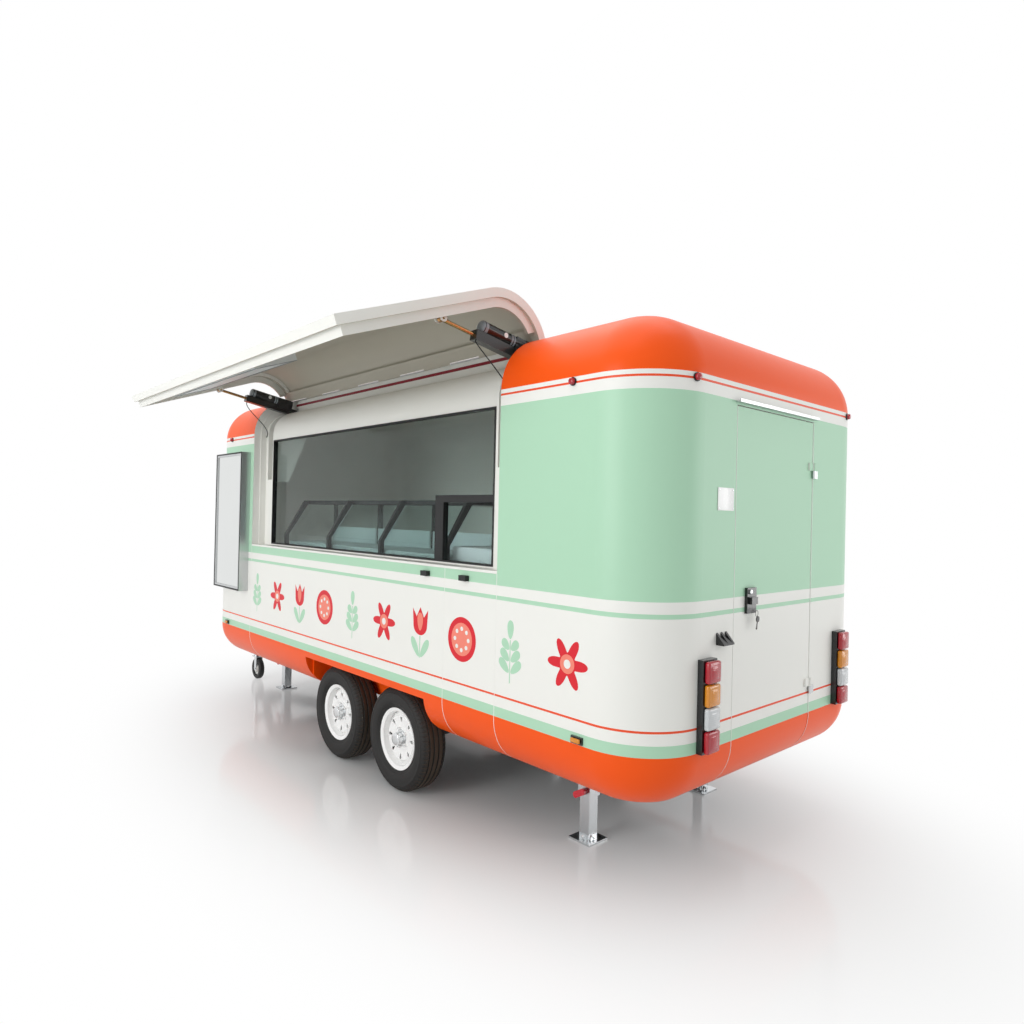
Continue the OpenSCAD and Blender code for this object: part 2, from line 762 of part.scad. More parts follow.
module red_handles() color(red) in_frame() {
    for (end = [0, 1]) both_sides() translate([leg_x[end], leg_y[end] + sleeve_out + seam, sleeve_z + grip_z])
        rotate([-90, 0, 0]) {
            cylinder(r = grip_r, h = grip_l);
            translate([0, 0, grip_l - grip_r]) rotate(grip_turn) linear_extrude(1.5 * grip_r) grip();
        }
    translate([jockey_x, jockey_y, jockey_tube_z[1] + seam]) {
        difference() {
            cylinder(r = tube_r, h = collar_h);
            translate([0, 0, -over]) cylinder(r = stem_r + run, h = 2 * collar_h);
        }
        translate([tube_r - 4, -crank[1] / 2, 2]) cube(crank);
        translate([tube_r + crank[0] - collar_h, 0, 2]) cylinder(r = crank_grip_r, h = crank_grip_l);
    }
}

module jockey_stem() color(zinc) in_frame() translate([jockey_x, jockey_y, 0]) {
    translate([0, 0, stem_z[0]]) cylinder(r = stem_r, h = stem_z[1] - stem_z[0]);
}

trail = 45;
fork_w = 62;
fork_t = 6;
cheek_w = 50;
cheek_low = 16;
pin_out = 5;
jockey_z = jockey_d / 2;
jockey_w = 48;
jockey_pin_r = 8;
module jockey_fork() color(zinc) in_frame() translate([jockey_x, jockey_y, 0]) {
    translate([-trail - cheek_w / 2, -fork_w / 2, crown_z - crown_t])
        cube([trail + cheek_w + pin_out, fork_w, crown_t]);
    for (y = [-fork_w / 2, fork_w / 2 - fork_t])
        translate([-trail - cheek_w / 2, y, jockey_z - cheek_low])
            cube([cheek_w, fork_t, crown_z - jockey_z + cheek_low]);
    translate([-trail, 0, jockey_z]) rotate([90, 0, 0])
        cylinder(r = jockey_pin_r, h = fork_w + 2 * pin_out, center = true);
}

module jockey_wheel() color(black) in_frame() translate([jockey_x - trail, jockey_y, jockey_z])
    rotate([90, 0, 0]) rotate_extrude() polygon([
        [jockey_pin_r + run, -jockey_w / 2], [30, -jockey_w / 2], [36, -10], [jockey_z * 0.62, -10],
        [jockey_z * 0.66, -jockey_w / 2], [jockey_z - 8, -jockey_w / 2], [jockey_z, -jockey_w / 2 + 9],
        [jockey_z, jockey_w / 2 - 9], [jockey_z - 8, jockey_w / 2], [jockey_z * 0.66, jockey_w / 2],
        [jockey_z * 0.62, 10], [36, 10], [30, jockey_w / 2], [jockey_pin_r + run, jockey_w / 2]
    ]);

module door() color(white) in_frame() {
    intersection() {
        end_wall();
        door_space(0);
        box([-over, -hw, 0], [door_lip_in, hw, body_top]);
    }
    for (z = door_hinge_z) {
        difference() {
            union() {
                translate([door_pin_x, door_y0, z]) cylinder(r = door_knuckle_r, h = door_half_l);
                box([door_pin_x, door_y0, z], [over / 2, door_y0 + door_leaf_w, z + door_half_l]);
            }
            translate([door_pin_x, door_y0, z - over]) cylinder(r = door_pin_r + run, h = door_knuckle_l);
        }
    }
}

gutter_z = door_top + 14;
gutter_end = 20;
gutter_out = 26;
gutter_t = 5;
gutter_h = 14;
door_leaf_w = 45;
module door_fittings() color(steel) in_frame() {
    box([-gutter_out, door_y0 - gutter_end, gutter_z], [-seam, door_y1 + gutter_end, gutter_z + gutter_t]);
    box([-gutter_out, door_y0 - gutter_end, gutter_z],
        [gutter_t - gutter_out, door_y1 + gutter_end, gutter_z + gutter_h]);
    for (z = door_hinge_z) translate([0, 0, z]) {
        translate([door_pin_x, door_y0, -door_knuckle_l / 2]) {
            cylinder(r = door_knuckle_r, h = door_half_l);
            cylinder(r = door_pin_r, h = door_knuckle_l - 4);
        }
        box([door_pin_x, door_y0 - door_leaf_w, -door_knuckle_l / 2], [-seam, door_y0, -over]);
    }
}

handle_in = 130;
handle_y = door_y1 - handle_in;
handle_z = 1282;
handle_w = 80;
handle_h = 116;
handle_t = 14;
knob_w = 52;
knob_h = 32;
knob_out = 30;
module door_handle() color(black) in_frame() {
    box([-handle_t, handle_y - handle_w / 2, handle_z - handle_h / 2],
        [-seam, handle_y + handle_w / 2, handle_z + handle_h / 2]);
    box([-knob_out, handle_y - knob_w / 2, handle_z - knob_h / 2],
        [over - handle_t, handle_y + knob_w / 2, handle_z + knob_h / 2]);
}

lamp_y = hw - lamp_in;
lens_gap = 5;
lamp_n = 4;
lamp_base_t = 28;
lens_t = 26;
lamp_rim = 6;
lamp_h = lamp_n * (lens_w + lens_gap) + lens_gap;

// Rows of the tail lamps, from the bottom, that have one colour
module tail_lenses(rows) both_sides() for (i = rows)
    box([-lamp_base_t - lens_t, lamp_y - lens_w / 2, lamp_z + lens_gap + i * (lens_w + lens_gap)],
        [-lamp_base_t - seam, lamp_y + lens_w / 2, lamp_z + lens_gap + i * (lens_w + lens_gap) + lens_w]);

marker_in = 390;
marker_x = [marker_in, body_l - marker_in];
marker_z = 687;
marker_w = 64;
marker_h = 32;
marker_t = 10;
marker_lens_t = 12;
clearance_in = [460, 400];
clearance_x = [clearance_in[0], body_l - clearance_in[1]];
clearance_z = 2236;
clearance_turn = 11;
clearance_r = 15;
clearance_rim = 4;
clearance_t = 6;
clearance_l = 16;

// Round lamp standing on the face it is placed on, from one height to another
module clearance_lamps(r, z0, z1) both_sides() {
    for (x = clearance_x) translate([x, hw, clearance_z]) rotate([-90, 0, 0]) translate([0, 0, z0])
        cylinder(r = r, h = z1 - z0);
    translate([corner_r, hw - corner_r, clearance_z]) rotate([0, -90, -clearance_turn])
        translate([0, 0, corner_r + z0]) cylinder(r = r, h = z1 - z0);
}

plate_lamp_y = lamp_y - 125;
plate_lamp_z = 1120;
plate_lamp_w = 84;
plate_lamp_h = 28;
plate_lamp_t = 40;
fin_t = 14;
fin_h = 24;
module lamp_bases() color(black) in_frame() {
    both_sides() box([-lamp_base_t, lamp_y - lens_w / 2 - lamp_rim, lamp_z],
                     [-seam, lamp_y + lens_w / 2 + lamp_rim, lamp_z + lamp_h]);
    both_sides() for (x = marker_x)
        box([x - marker_w / 2, hw + seam, marker_z - marker_h / 2],
            [x + marker_w / 2, hw + marker_t, marker_z + marker_h / 2]);
    clearance_lamps(clearance_r + clearance_rim, seam, clearance_t);
    along_y(plate_lamp_y - plate_lamp_w / 2, plate_lamp_y + plate_lamp_w / 2)
        translate([0, plate_lamp_z]) polygon([
            [-seam, plate_lamp_h / 2], [-fin_t, plate_lamp_h / 2], [-plate_lamp_t, -plate_lamp_h / 4],
            [-plate_lamp_t, -plate_lamp_h / 2], [-seam, -plate_lamp_h / 2]
        ]);
    for (y = [-plate_lamp_w / 2, -fin_t / 2, plate_lamp_w / 2 - fin_t])
        along_y(plate_lamp_y + y, plate_lamp_y + y + fin_t) translate([0, plate_lamp_z]) polygon([
            [-seam, plate_lamp_h / 2 + fin_h], [-plate_lamp_t, -plate_lamp_h / 4], [-seam, -plate_lamp_h / 4]
        ]);
}

module red_lenses() color(red) in_frame() {
    tail_lenses([0, 3]);
    clearance_lamps(clearance_r, clearance_t + seam, clearance_t + clearance_l);
}

module amber_lenses() color(amber) in_frame() {
    tail_lenses([2]);
    both_sides() for (x = marker_x)
        box([x - marker_w / 2 + lamp_rim, hw + marker_t + seam, marker_z - marker_h / 2 + lamp_rim],
            [x + marker_w / 2 - lamp_rim, hw + marker_t + marker_lens_t, marker_z + marker_h / 2 - lamp_rim]);
}

module clear_lenses() color("#d9dcdd") in_frame() tail_lenses([1]);

rib_up = 25;
rib_in = 23;
rib_top = 60;
ear_t = 6;
ear_gap = 40;
eye_t = 16;
eye_r = 18;
module hatch() color(white) in_frame() open_hatch() {
    difference() {
        along_x(hatch_rear + hatch_gap, bay_end - hatch_gap)
            skin(hw, 0, hatch_t, hatch_bottom, roof_lip - knuckle_r - over);
        along_x(hatch_rear + hatch_gap + hatch_rim, bay_end - hatch_gap - hatch_rim) intersection() {
            skin(hw, hatch_t - hatch_recess, hatch_t + over, hatch_bottom + hatch_rim, over);
            translate([hinge_y + hatch_rim, 0]) square([hw, body_top]);
        }
    }
    for (x = [hatch_rear + rib_in, bay_end - rib_in - rib_t]) along_x(x, x + rib_t) intersection() {
        skin(hw, hatch_t - over, rib_depth, hatch_bottom + rib_up, over);
        translate([hinge_y + rib_top, 0]) square([hw, body_top]);
    }
    box([hatch_rear + rib_in, hw - rib_depth, hatch_bottom + rib_up],
        [bay_end - rib_in, hw - hatch_t + over, hatch_bottom + rib_up + rib_t]);
    knuckles(1, hinge_pin_r + run);
    for (i = [1 : 2 : knuckle_n - 1])
        box([knuckle_x + i * knuckle_l + over, hinge_y, body_top - over],
            [knuckle_x + (i + 1) * knuckle_l - over, hinge_y + knuckle_r + leaf_w, body_top + leaf_t]);
    for (x = act_x) box([x - ear_gap / 2 - ear_t, hw - hatch_t, pin_z - eye_r],
                        [x + ear_gap / 2 + ear_t, hw - hatch_t + hatch_recess + over, pin_z + eye_r]);
    for (x = act_x) for (side = [-1, 1]) translate([x + side * (ear_gap + ear_t) / 2, 0, 0])
        rotate([0, 90, 0]) linear_extrude(ear_t, center = true) difference() {
            union() {
                translate([-pin_z, pin_y]) circle(eye_r);
                translate([-pin_z - eye_r, pin_y]) square([2 * eye_r, hw - hatch_t + over - pin_y]);
            }
            translate([-pin_z, pin_y]) circle(act_pin_r);
        }
}

lamp_bar_l = 1400;
lamp_bar_w = 260;
lamp_bar_t = 60;
lamp_bar_up = 175;
lamp_bar_front = 340;
lamp_bar_x = bay_end - lamp_bar_front;
lamp_bar_z = hatch_bottom + lamp_bar_up;
module hatch_lamp() color("#cfd3d4") in_frame() open_hatch()
    box([lamp_bar_x - lamp_bar_l, hw - hatch_t + hatch_recess - lamp_bar_t, lamp_bar_z],
        [lamp_bar_x, hw - hatch_t + hatch_recess - seam, lamp_bar_z + lamp_bar_w]);

// Hatch pin with the hatch open, and the actuator's length and slope there
turn_y = pin_y - hinge_y;
turn_z = pin_z - hinge_z;
open_y = hinge_y + turn_y * cos(hatch_open) - turn_z * sin(hatch_open);
open_z = hinge_z + turn_y * sin(hatch_open) + turn_z * cos(hatch_open);
act_l = norm([open_y - base_y, open_z - base_z]);
act_slope = atan2(open_z - base_z, open_y - base_y);

// Lays an actuator, drawn along +Y from its base pin with its motor above, at rest
module on_actuator(end) translate([act_x[end], base_y, base_z]) rotate([act_slope, 0, 0]) children();

motor_r = 34;
motor_l = 290;
motor_y = 150;
motor_z = housing_w / 2 + motor_r - 4;
motor_cap_r = 26;
motor_cap_l = 10;
gear_y = 110;
gear_l = 120;
lug_r = act_pin_r + 12;
lug_w = 40;
lug_l = 60;
rod_bore = 300;
module housing(end) color(black) in_frame() on_actuator(end) difference() {
    union() {
        rotate([0, 90, 0]) cylinder(r = lug_r, h = lug_w, center = true);
        box([-lug_w / 2, 0, -lug_r + 4], [lug_w / 2, lug_l, lug_r - 4]);
        box([-housing_w / 2, lug_l - over, -housing_w / 2], [housing_w / 2, housing_l, housing_w / 2]);
        translate([0, motor_y, motor_z]) rotate([-90, 0, 0]) {
            cylinder(r = motor_r, h = motor_l);
            cylinder(r = motor_cap_r, h = motor_l + motor_cap_l);
        }
        box([-motor_r + 2, gear_y, 0], [motor_r - 2, gear_y + gear_l, motor_z + motor_r - 6]);
    }
    rotate([0, 90, 0]) cylinder(r = act_pin_r + run, h = 2 * lug_w, center = true);
    translate([0, housing_l - rod_bore, 0]) rotate([-90, 0, 0])
        cylinder(r = rod_r + run, h = rod_bore + over);
}

rod_back = 280;
module rod(end) color("#b07a4a") in_frame() on_actuator(end) difference() {
    union() {
        translate([0, act_l - rod_back, 0]) rotate([-90, 0, 0]) cylinder(r = rod_r, h = rod_back);
        translate([0, act_l, 0]) rotate([0, 90, 0]) cylinder(r = eye_r - 2, h = eye_t, center = true);
    }
    translate([0, act_l, 0]) rotate([0, 90, 0]) cylinder(r = act_pin_r, h = 2 * eye_t, center = true);
}

// Drooping lead of one actuator, from under its housing's tip down to the jamb at the bay's end.
// Each point is (offset towards the jamb, Y, Z).
lead_r = 3;
lead_sides = 8;
lead_n = 12;
lead_at = housing_l - 16;
lead_off = housing_w / 2 + 0.8 * lead_r;
lead_end_in = 75;
lead_end_z = 2235;
lead_out = act_in - jamb_t - seam - lead_r - seam;
lead_start = [0, base_y + lead_at * cos(act_slope) + lead_off * sin(act_slope),
              base_z + lead_at * sin(act_slope) - lead_off * cos(act_slope)];
lead_end = [lead_out, hw - lead_end_in, lead_end_z];
lead_bend = [lead_start, lead_start + [3, -51, -99], lead_end + [-20, 10, 144], lead_end];
function bend(t) = pow(1 - t, 3) * lead_bend[0] + 3 * pow(1 - t, 2) * t * lead_bend[1]
    + 3 * (1 - t) * t * t * lead_bend[2] + pow(t, 3) * lead_bend[3];
lead_route = [for (i = [0 : lead_n - 1]) bend(i / (lead_n - 1))];
function unit(v) = v / norm(v);
function lead_ring(i) = let (
    along = unit(lead_route[min(i + 1, len(lead_route) - 1)] - lead_route[max(i - 1, 0)]),
    across = unit(cross(along, [1, 0, 0])),
    up = cross(along, across)
) [for (k = [0 : lead_sides - 1]) let (turn = k * 360 / lead_sides)
    lead_route[i] + lead_r * (cos(turn) * across + sin(turn) * up)];

module lead(end) color(black) in_frame() translate([act_x[end], 0, 0]) mirror([1 - end, 0, 0]) polyhedron(
    points = [for (i = [0 : len(lead_route) - 1]) each lead_ring(i)],
    faces = concat(
        [[for (k = [lead_sides - 1 : -1 : 0]) k]],
        [for (i = [0 : len(lead_route) - 2], k = [0 : lead_sides - 1]) let (n = (k + 1) % lead_sides)
            [i * lead_sides + k, i * lead_sides + n, (i + 1) * lead_sides + n, (i + 1) * lead_sides + k]],
        [[for (k = [0 : lead_sides - 1]) (len(lead_route) - 1) * lead_sides + k]]
    )
);

rear_shell();
front_shell();
left_wall();
right_wall();
roof_panel();
floor_panel();
window_surround();
actuator_pockets();
hatch_hinge();
window_gasket();
glazing();
counter();
display_frame();
display_glass();
menu_frame();
menu_glass();
wheel_wells();
chassis_rails();
cross_members();
drawbar();
coupler();
axles();
leg_sleeves();
jockey_tube();
red_handles();
door_fittings();
lamp_bases();
red_lenses();
amber_lenses();
clear_lenses();
lead(0);  // lead_rear
lead(1);  // lead_front
hatch();
hatch_lamp();
housing(0);  // housing_rear
housing(1);  // housing_front
rod(0);  // rod_rear
rod(1);  // rod_front
door();
door_handle();
tyre(0, 1);  // tyre_left_rear
tyre(1, 1);  // tyre_left_front
tyre(0, -1);  // tyre_right_rear
tyre(1, -1);  // tyre_right_front
rim(0, 1);  // rim_left_rear
rim(1, 1);  // rim_left_front
rim(0, -1);  // rim_right_rear
rim(1, -1);  // rim_right_front
leg(0, 1);  // leg_left_rear
leg(1, 1);  // leg_left_front
leg(0, -1);  // leg_right_rear
leg(1, -1);  // leg_right_front
jockey_stem();
jockey_fork();
jockey_wheel();
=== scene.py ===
"""Finishes and detail of a food and beverage trailer, laid out as an add-on and run as a script."""
import json
from math import cos, pi, radians, sin, sqrt

import bmesh
import bpy
from bpy.props import FloatProperty, FloatVectorProperty, IntProperty, PointerProperty
from bpy.types import Operator, Panel, PropertyGroup
from mathutils import Matrix, Vector


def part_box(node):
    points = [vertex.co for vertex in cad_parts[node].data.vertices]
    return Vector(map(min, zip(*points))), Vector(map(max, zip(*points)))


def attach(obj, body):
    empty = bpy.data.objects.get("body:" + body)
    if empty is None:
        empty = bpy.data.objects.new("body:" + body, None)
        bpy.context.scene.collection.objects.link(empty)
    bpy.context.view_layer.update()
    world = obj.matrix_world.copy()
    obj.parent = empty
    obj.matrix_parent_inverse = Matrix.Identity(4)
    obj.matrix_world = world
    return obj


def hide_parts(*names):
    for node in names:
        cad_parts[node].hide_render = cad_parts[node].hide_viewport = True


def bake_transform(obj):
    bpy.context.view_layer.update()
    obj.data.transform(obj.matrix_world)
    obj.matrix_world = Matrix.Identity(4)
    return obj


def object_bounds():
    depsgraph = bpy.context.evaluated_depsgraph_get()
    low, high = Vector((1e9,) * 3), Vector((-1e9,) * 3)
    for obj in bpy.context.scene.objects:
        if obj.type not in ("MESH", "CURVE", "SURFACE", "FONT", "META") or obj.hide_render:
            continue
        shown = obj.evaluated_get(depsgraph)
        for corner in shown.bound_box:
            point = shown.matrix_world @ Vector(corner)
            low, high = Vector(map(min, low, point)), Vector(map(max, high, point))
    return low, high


bl_info = {
    "name": "Food and beverage trailer",
    "version": (1, 0, 0),
    "blender": (4, 5, 0),
    "location": "View3D > Sidebar > Trailer",
    "description": "Dresses the trailer's frame with paint, glass, tyres, lamps and trim",
    "category": "Object",
}

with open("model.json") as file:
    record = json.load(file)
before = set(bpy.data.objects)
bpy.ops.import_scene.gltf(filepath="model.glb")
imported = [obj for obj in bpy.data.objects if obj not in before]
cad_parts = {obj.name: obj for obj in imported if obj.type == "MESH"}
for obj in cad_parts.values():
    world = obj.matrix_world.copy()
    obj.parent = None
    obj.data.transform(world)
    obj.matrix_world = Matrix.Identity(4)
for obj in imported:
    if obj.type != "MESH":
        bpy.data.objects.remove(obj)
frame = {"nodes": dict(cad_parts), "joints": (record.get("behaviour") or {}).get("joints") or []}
CAD_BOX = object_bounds()
MM = 0.001


def mm(*pairs):
    """Pairs of millimetres as metres."""
    return [(a * MM, b * MM) for a, b in pairs]


ROOT = "trailer"
ENDS = ("rear", "front")
WHEELS = [(f"{side}_{end}", turn) for side, turn in (("left", 1), ("right", -1)) for end in ENDS]

# The cabin's rear, half width and length, and the ground, taken from the frame
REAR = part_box("rear_shell")[0].x
HALF_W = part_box("rear_shell")[1].y
CABIN_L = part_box("front_shell")[1].x - REAR
GROUND = CAD_BOX[0].z
# Radii of the shell's corners, belly and roof edge, and heights of its lines above the ground
CORNER_R, BELLY_R, ROOF_R = 0.320, 0.250, 0.295
BODY_BOTTOM, BELLY_Z, SIDE_TOP, CABIN_TOP = 0.440, 0.655, 2.250, 2.545


def linear(hex_colour):
    """Linear RGB of an sRGB hex colour."""
    parts = [int(hex_colour[i:i + 2], 16) / 255 for i in (0, 2, 4)]
    return [c / 12.92 if c <= 0.04045 else ((c + 0.055) / 1.055) ** 2.4 for c in parts]


def rgba(colour):
    """Linear colour with full alpha."""
    return (*colour[:3], 1.0)


def cabin(x, y, z):
    """Row-frame point of a place given from the cabin's rear, middle and the ground."""
    return Vector((REAR + x, y, GROUND + z))


def colour_prop(name, text, hex_colour):
    return FloatVectorProperty(name=name, description=text, subtype="COLOR", size=3, min=0, max=1,
                               default=linear(hex_colour))


def length_prop(name, text, metres):
    return FloatProperty(name=name, description=text, default=metres, unit="LENGTH", min=0)


class TrailerPaint(PropertyGroup):
    """Colours of the cabin and the heights at which its bands change, above the ground."""
    orange: colour_prop("Orange", "Roof and belly", "f9580e")
    mint: colour_prop("Mint", "Wide field and belts", "b3dcbf")
    cream: colour_prop("Cream", "Walls between the bands", "f1f1ec")
    coral: colour_prop("Coral line", "Thin lines", "ee5530")
    # Lining is painted shade: the hatch's own cream gel coat, greyed for the shade under the open hatch
    shaded_lining: colour_prop("Lining", "Unpainted gel coat inside the hatch", "bdb8aa")
    berry: colour_prop("Berry", "Darker motifs of the frieze", "dd2a36")
    blush: colour_prop("Blush", "Paler motifs of the frieze", "f58a78")
    belly_top: length_prop("Belly top", "Upper edge of the orange belly", 0.660)
    low_belt_top: length_prop("Low belt", "Upper edge of the lower mint belt", 0.708)
    low_line: length_prop("Low line", "Middle of the lower coral line", 0.767)
    belt_line: length_prop("Belt line", "Middle of the thin mint line", 1.238)
    field_bottom: length_prop("Field bottom", "Lower edge of the mint field", 1.295)
    field_top: length_prop("Field top", "Upper edge of the mint field", 2.173)
    high_line: length_prop("High line", "Middle of the upper coral line", 2.227)
    roof_bottom: length_prop("Roof edge", "Lower edge of the orange roof", 2.247)
    line_w: length_prop("Line width", "Width of the thin lines", 0.011)


class TrailerTyres(PropertyGroup):
    """Sizes of the tyres' tread."""
    groove_w: length_prop("Groove width", "Width of the grooves round the tread", 0.008)
    groove_d: length_prop("Groove depth", "Depth of the grooves round the tread", 0.007)
    sipe_d: length_prop("Sipe depth", "Depth of the cuts across the shoulders", 0.0035)
    sipes: IntProperty(name="Sipes", description="Cuts across each shoulder", default=72, min=12)


class TrailerFrieze(PropertyGroup):
    """Sizes of the painted frieze under the window."""
    motif: length_prop("Motif", "Width of one motif", 0.250)
    pitch: length_prop("Pitch", "Distance between motifs", 0.372)
    first: length_prop("First", "Distance of the first motif from the cabin's rear", 0.46)
    height: length_prop("Height", "Height of the frieze's middle above the ground", 1.000)
    film: length_prop("Film", "Thickness of the cut vinyl", 0.0004)


def feed(tree, node, inputs):
    """Gives a node's sockets values, other sockets, or the first outputs of other nodes."""
    for key, value in inputs.items():
        if isinstance(value, bpy.types.Node):
            value = value.outputs[0]
        if isinstance(value, bpy.types.NodeSocket):
            tree.links.new(value, node.inputs[key])
        else:
            node.inputs[key].default_value = value


def put(tree, kind, inputs=None, **settings):
    """Adds a shader node with these fields and inputs."""
    node = tree.nodes.new("ShaderNode" + kind)
    for key, value in settings.items():
        setattr(node, key, value)
    feed(tree, node, inputs or {})
    return node


def start_material(name, **sockets):
    """Makes a material; gives its tree, its principled shader with these constants, and coordinates."""
    material = bpy.data.materials.new(name)
    material.use_nodes = True
    tree = material.node_tree
    shader = tree.nodes["Principled BSDF"]
    feed(tree, shader, {key.replace("_", " "): value for key, value in sockets.items()})
    return tree, shader, put(tree, "TexCoord").outputs


GRAIN_DEPTH = 0.25  # relief of a grain, as a share of its size


def mottle(tree, shader, place, size, rough, bump, base=None, tint=0.0, stretch=(1, 1, 1)):
    """Grain of one real size in metres: uneven gloss, fine relief and faint changes of base colour."""
    grid = put(tree, "Mapping", {"Vector": place["Object"], "Scale": [s / size for s in stretch]})
    grain = put(tree, "TexNoise", {"Vector": grid, "Scale": 1.0, "Detail": 4.0, "Roughness": 0.6})
    gloss = put(tree, "MapRange", {"Value": grain, "To Min": rough[0], "To Max": rough[1]})
    relief = put(tree, "Bump", {"Height": grain, "Strength": bump, "Distance": size * GRAIN_DEPTH})
    feed(tree, shader, {"Roughness": gloss, "Normal": relief})
    if base is not None:
        shade = put(tree, "MapRange", {"Value": grain, "To Min": 1 - tint, "To Max": 1 + tint})
        tinted = put(tree, "VectorMath", {0: base, "Scale": shade}, operation="SCALE")
        feed(tree, shader, {"Base Color": tinted})


GELCOAT = {"Coat_Weight": 0.03, "Coat_Roughness": 0.3, "Specular_IOR_Level": 0.2}
# How far a face has to look out of the cabin to be painted, on the walls and, for the cut edges of
# the wheel arches, on the belly; and how far it has to look in to wear the hatch's lining colour,
# which is painted shade: the cream greyed for the shade under the open hatch
OUT_ON_WALL, OUT_ON_BELLY, IN_ON_HATCH = 0.6, -0.3, -0.5


def gelcoat_bands(paint, hatch=False):
    """Glass fibre with gloss paint in level bands: a clear sheen over faint orange-peel, bare inside;
    the hatch's inside greyed as painted shade.
    """
    name = "painted_gelcoat_hatch" if hatch else "painted_gelcoat_bands"
    tree, shader, place = start_material(name, **GELCOAT)
    spot, facing = place["Object"], place["Normal"]
    if hatch:  # the bands run level with the cabin's when the hatch is shut
        joint = joint_of("hatch_lift")
        pivot, turn = Vector(joint["pos_m"]), radians(joint["range_deg"][0])
        spot = put(tree, "VectorRotate", {"Vector": spot, "Center": pivot, "Angle": turn},
                   rotation_type="X_AXIS")
        facing = put(tree, "VectorRotate", {"Vector": facing, "Angle": turn}, rotation_type="X_AXIS")
    height = put(tree, "SeparateXYZ", {"Vector": spot}).outputs["Z"]
    half = paint.line_w / 2
    stops = [(0, paint.orange), (paint.belly_top, paint.mint), (paint.low_belt_top, paint.cream),
             (paint.low_line - half, paint.coral), (paint.low_line + half, paint.cream),
             (paint.belt_line - half, paint.mint), (paint.belt_line + half, paint.cream),
             (paint.field_bottom, paint.mint), (paint.field_top, paint.cream),
             (paint.high_line - half, paint.coral), (paint.high_line + half, paint.cream),
             (paint.roof_bottom, paint.orange)]
    share = put(tree, "MapRange", {"Value": height, "From Min": GROUND, "From Max": GROUND + CABIN_TOP})
    bands = put(tree, "ValToRGB", {"Fac": share})
    ramp = bands.color_ramp
    ramp.interpolation = "CONSTANT"
    for i, (level, colour) in enumerate(stops):
        stop = ramp.elements[i] if i < 2 else ramp.elements.new(level / CABIN_TOP)
        stop.position = level / CABIN_TOP
        stop.color = rgba(colour)
    # The way out of the cabin at each point, from a box inside the shell's round edges
    low = cabin(CORNER_R, CORNER_R - HALF_W, BELLY_Z)
    high = cabin(CABIN_L - CORNER_R, HALF_W - CORNER_R, SIDE_TOP)
    core = put(tree, "VectorMath", {0: spot, 1: low}, operation="MAXIMUM")
    core = put(tree, "VectorMath", {0: core, 1: high}, operation="MINIMUM")
    out = put(tree, "VectorMath", {0: spot, 1: core}, operation="SUBTRACT")
    out = put(tree, "VectorMath", {0: out}, operation="NORMALIZE")
    looks = put(tree, "VectorMath", {0: out, 1: facing}, operation="DOT_PRODUCT").outputs["Value"]
    belly = put(tree, "Math", {0: height, 1: GROUND + paint.belly_top}, operation="LESS_THAN")
    least = put(tree, "MapRange", {"Value": belly, "To Min": OUT_ON_WALL, "To Max": OUT_ON_BELLY})
    outside = put(tree, "Math", {0: looks, 1: least}, operation="GREATER_THAN")
    skin = put(tree, "Mix", {"Factor": outside, "A": rgba(paint.cream), "B": bands}, data_type="RGBA")
    # Faces that look in on the hatch get the lining colour: painted shade, a greyer cream for the shade
    # under the open hatch
    if hatch:
        inside = put(tree, "Math", {0: looks, 1: IN_ON_HATCH}, operation="LESS_THAN")
        skin = put(tree, "Mix", {"Factor": inside, "A": skin.outputs["Result"],
                                 "B": rgba(paint.shaded_lining)}, data_type="RGBA")
    mottle(tree, shader, place, 60 * MM, (0.32, 0.38), 0.004, skin.outputs["Result"], 0.006)


def gelcoat_plain(name, colour):
    """Moulded glass fibre with a plain gel coat: soft gloss with the faint waves of the mould."""
    tree, shader, place = start_material(name, Base_Color=rgba(colour), **GELCOAT)
    mottle(tree, shader, place, 80 * MM, (0.34, 0.42), 0.004)


def chequer_plate():
    """Rolled aluminium chequer plate: a grid of raised lozenges 25 mm apart, scuffed between them."""
    tree, shader, place = start_material("aluminium_chequer_plate", Metallic=1.0,
                                         Base_Color=rgba(linear("b4b7b9")))
    pitch = 25 * MM
    grid = put(tree, "Mapping", {"Vector": place["Object"], "Scale": [1 / pitch] * 3,
                                 "Rotation": (0, 0, pi / 4)})
    bars = put(tree, "TexBrick", {"Vector": grid, "Scale": 1.0, "Mortar Size": 0.3, "Brick Width": 1.0,
                                  "Row Height": 0.5})
    relief = put(tree, "Bump", {"Height": bars.outputs["Fac"], "Strength": 0.5, "Distance": 1.5 * MM},
                 invert=True)
    # Scuffs about 17 mm across, so 60 to the metre
    scuffs = put(tree, "TexNoise", {"Vector": place["Object"], "Scale": 60.0, "Detail": 5.0})
    gloss = put(tree, "MapRange", {"Value": scuffs, "To Min": 0.28, "To Max": 0.5})
    feed(tree, shader, {"Roughness": gloss, "Normal": relief})


def metal(name, hex_colour, grain_mm, rough, bump, tint=0.05, stretch=(1, 1, 1)):
    """Bare or plated metal: full reflection broken by grain or brush lines of a real size."""
    tree, shader, place = start_material(name, Metallic=1.0)
    mottle(tree, shader, place, grain_mm * MM, rough, bump, linear(hex_colour), tint, stretch)


def coating(name, hex_colour, grain_mm, rough, bump, coat=0.0, tint=0.05):
    """Paint, plastic or rubber: one body colour, a shallow moulded or sprayed grain and uneven gloss."""
    tree, shader, place = start_material(name, IOR=1.5, Coat_Weight=coat)
    mottle(tree, shader, place, grain_mm * MM, rough, bump, linear(hex_colour), tint)


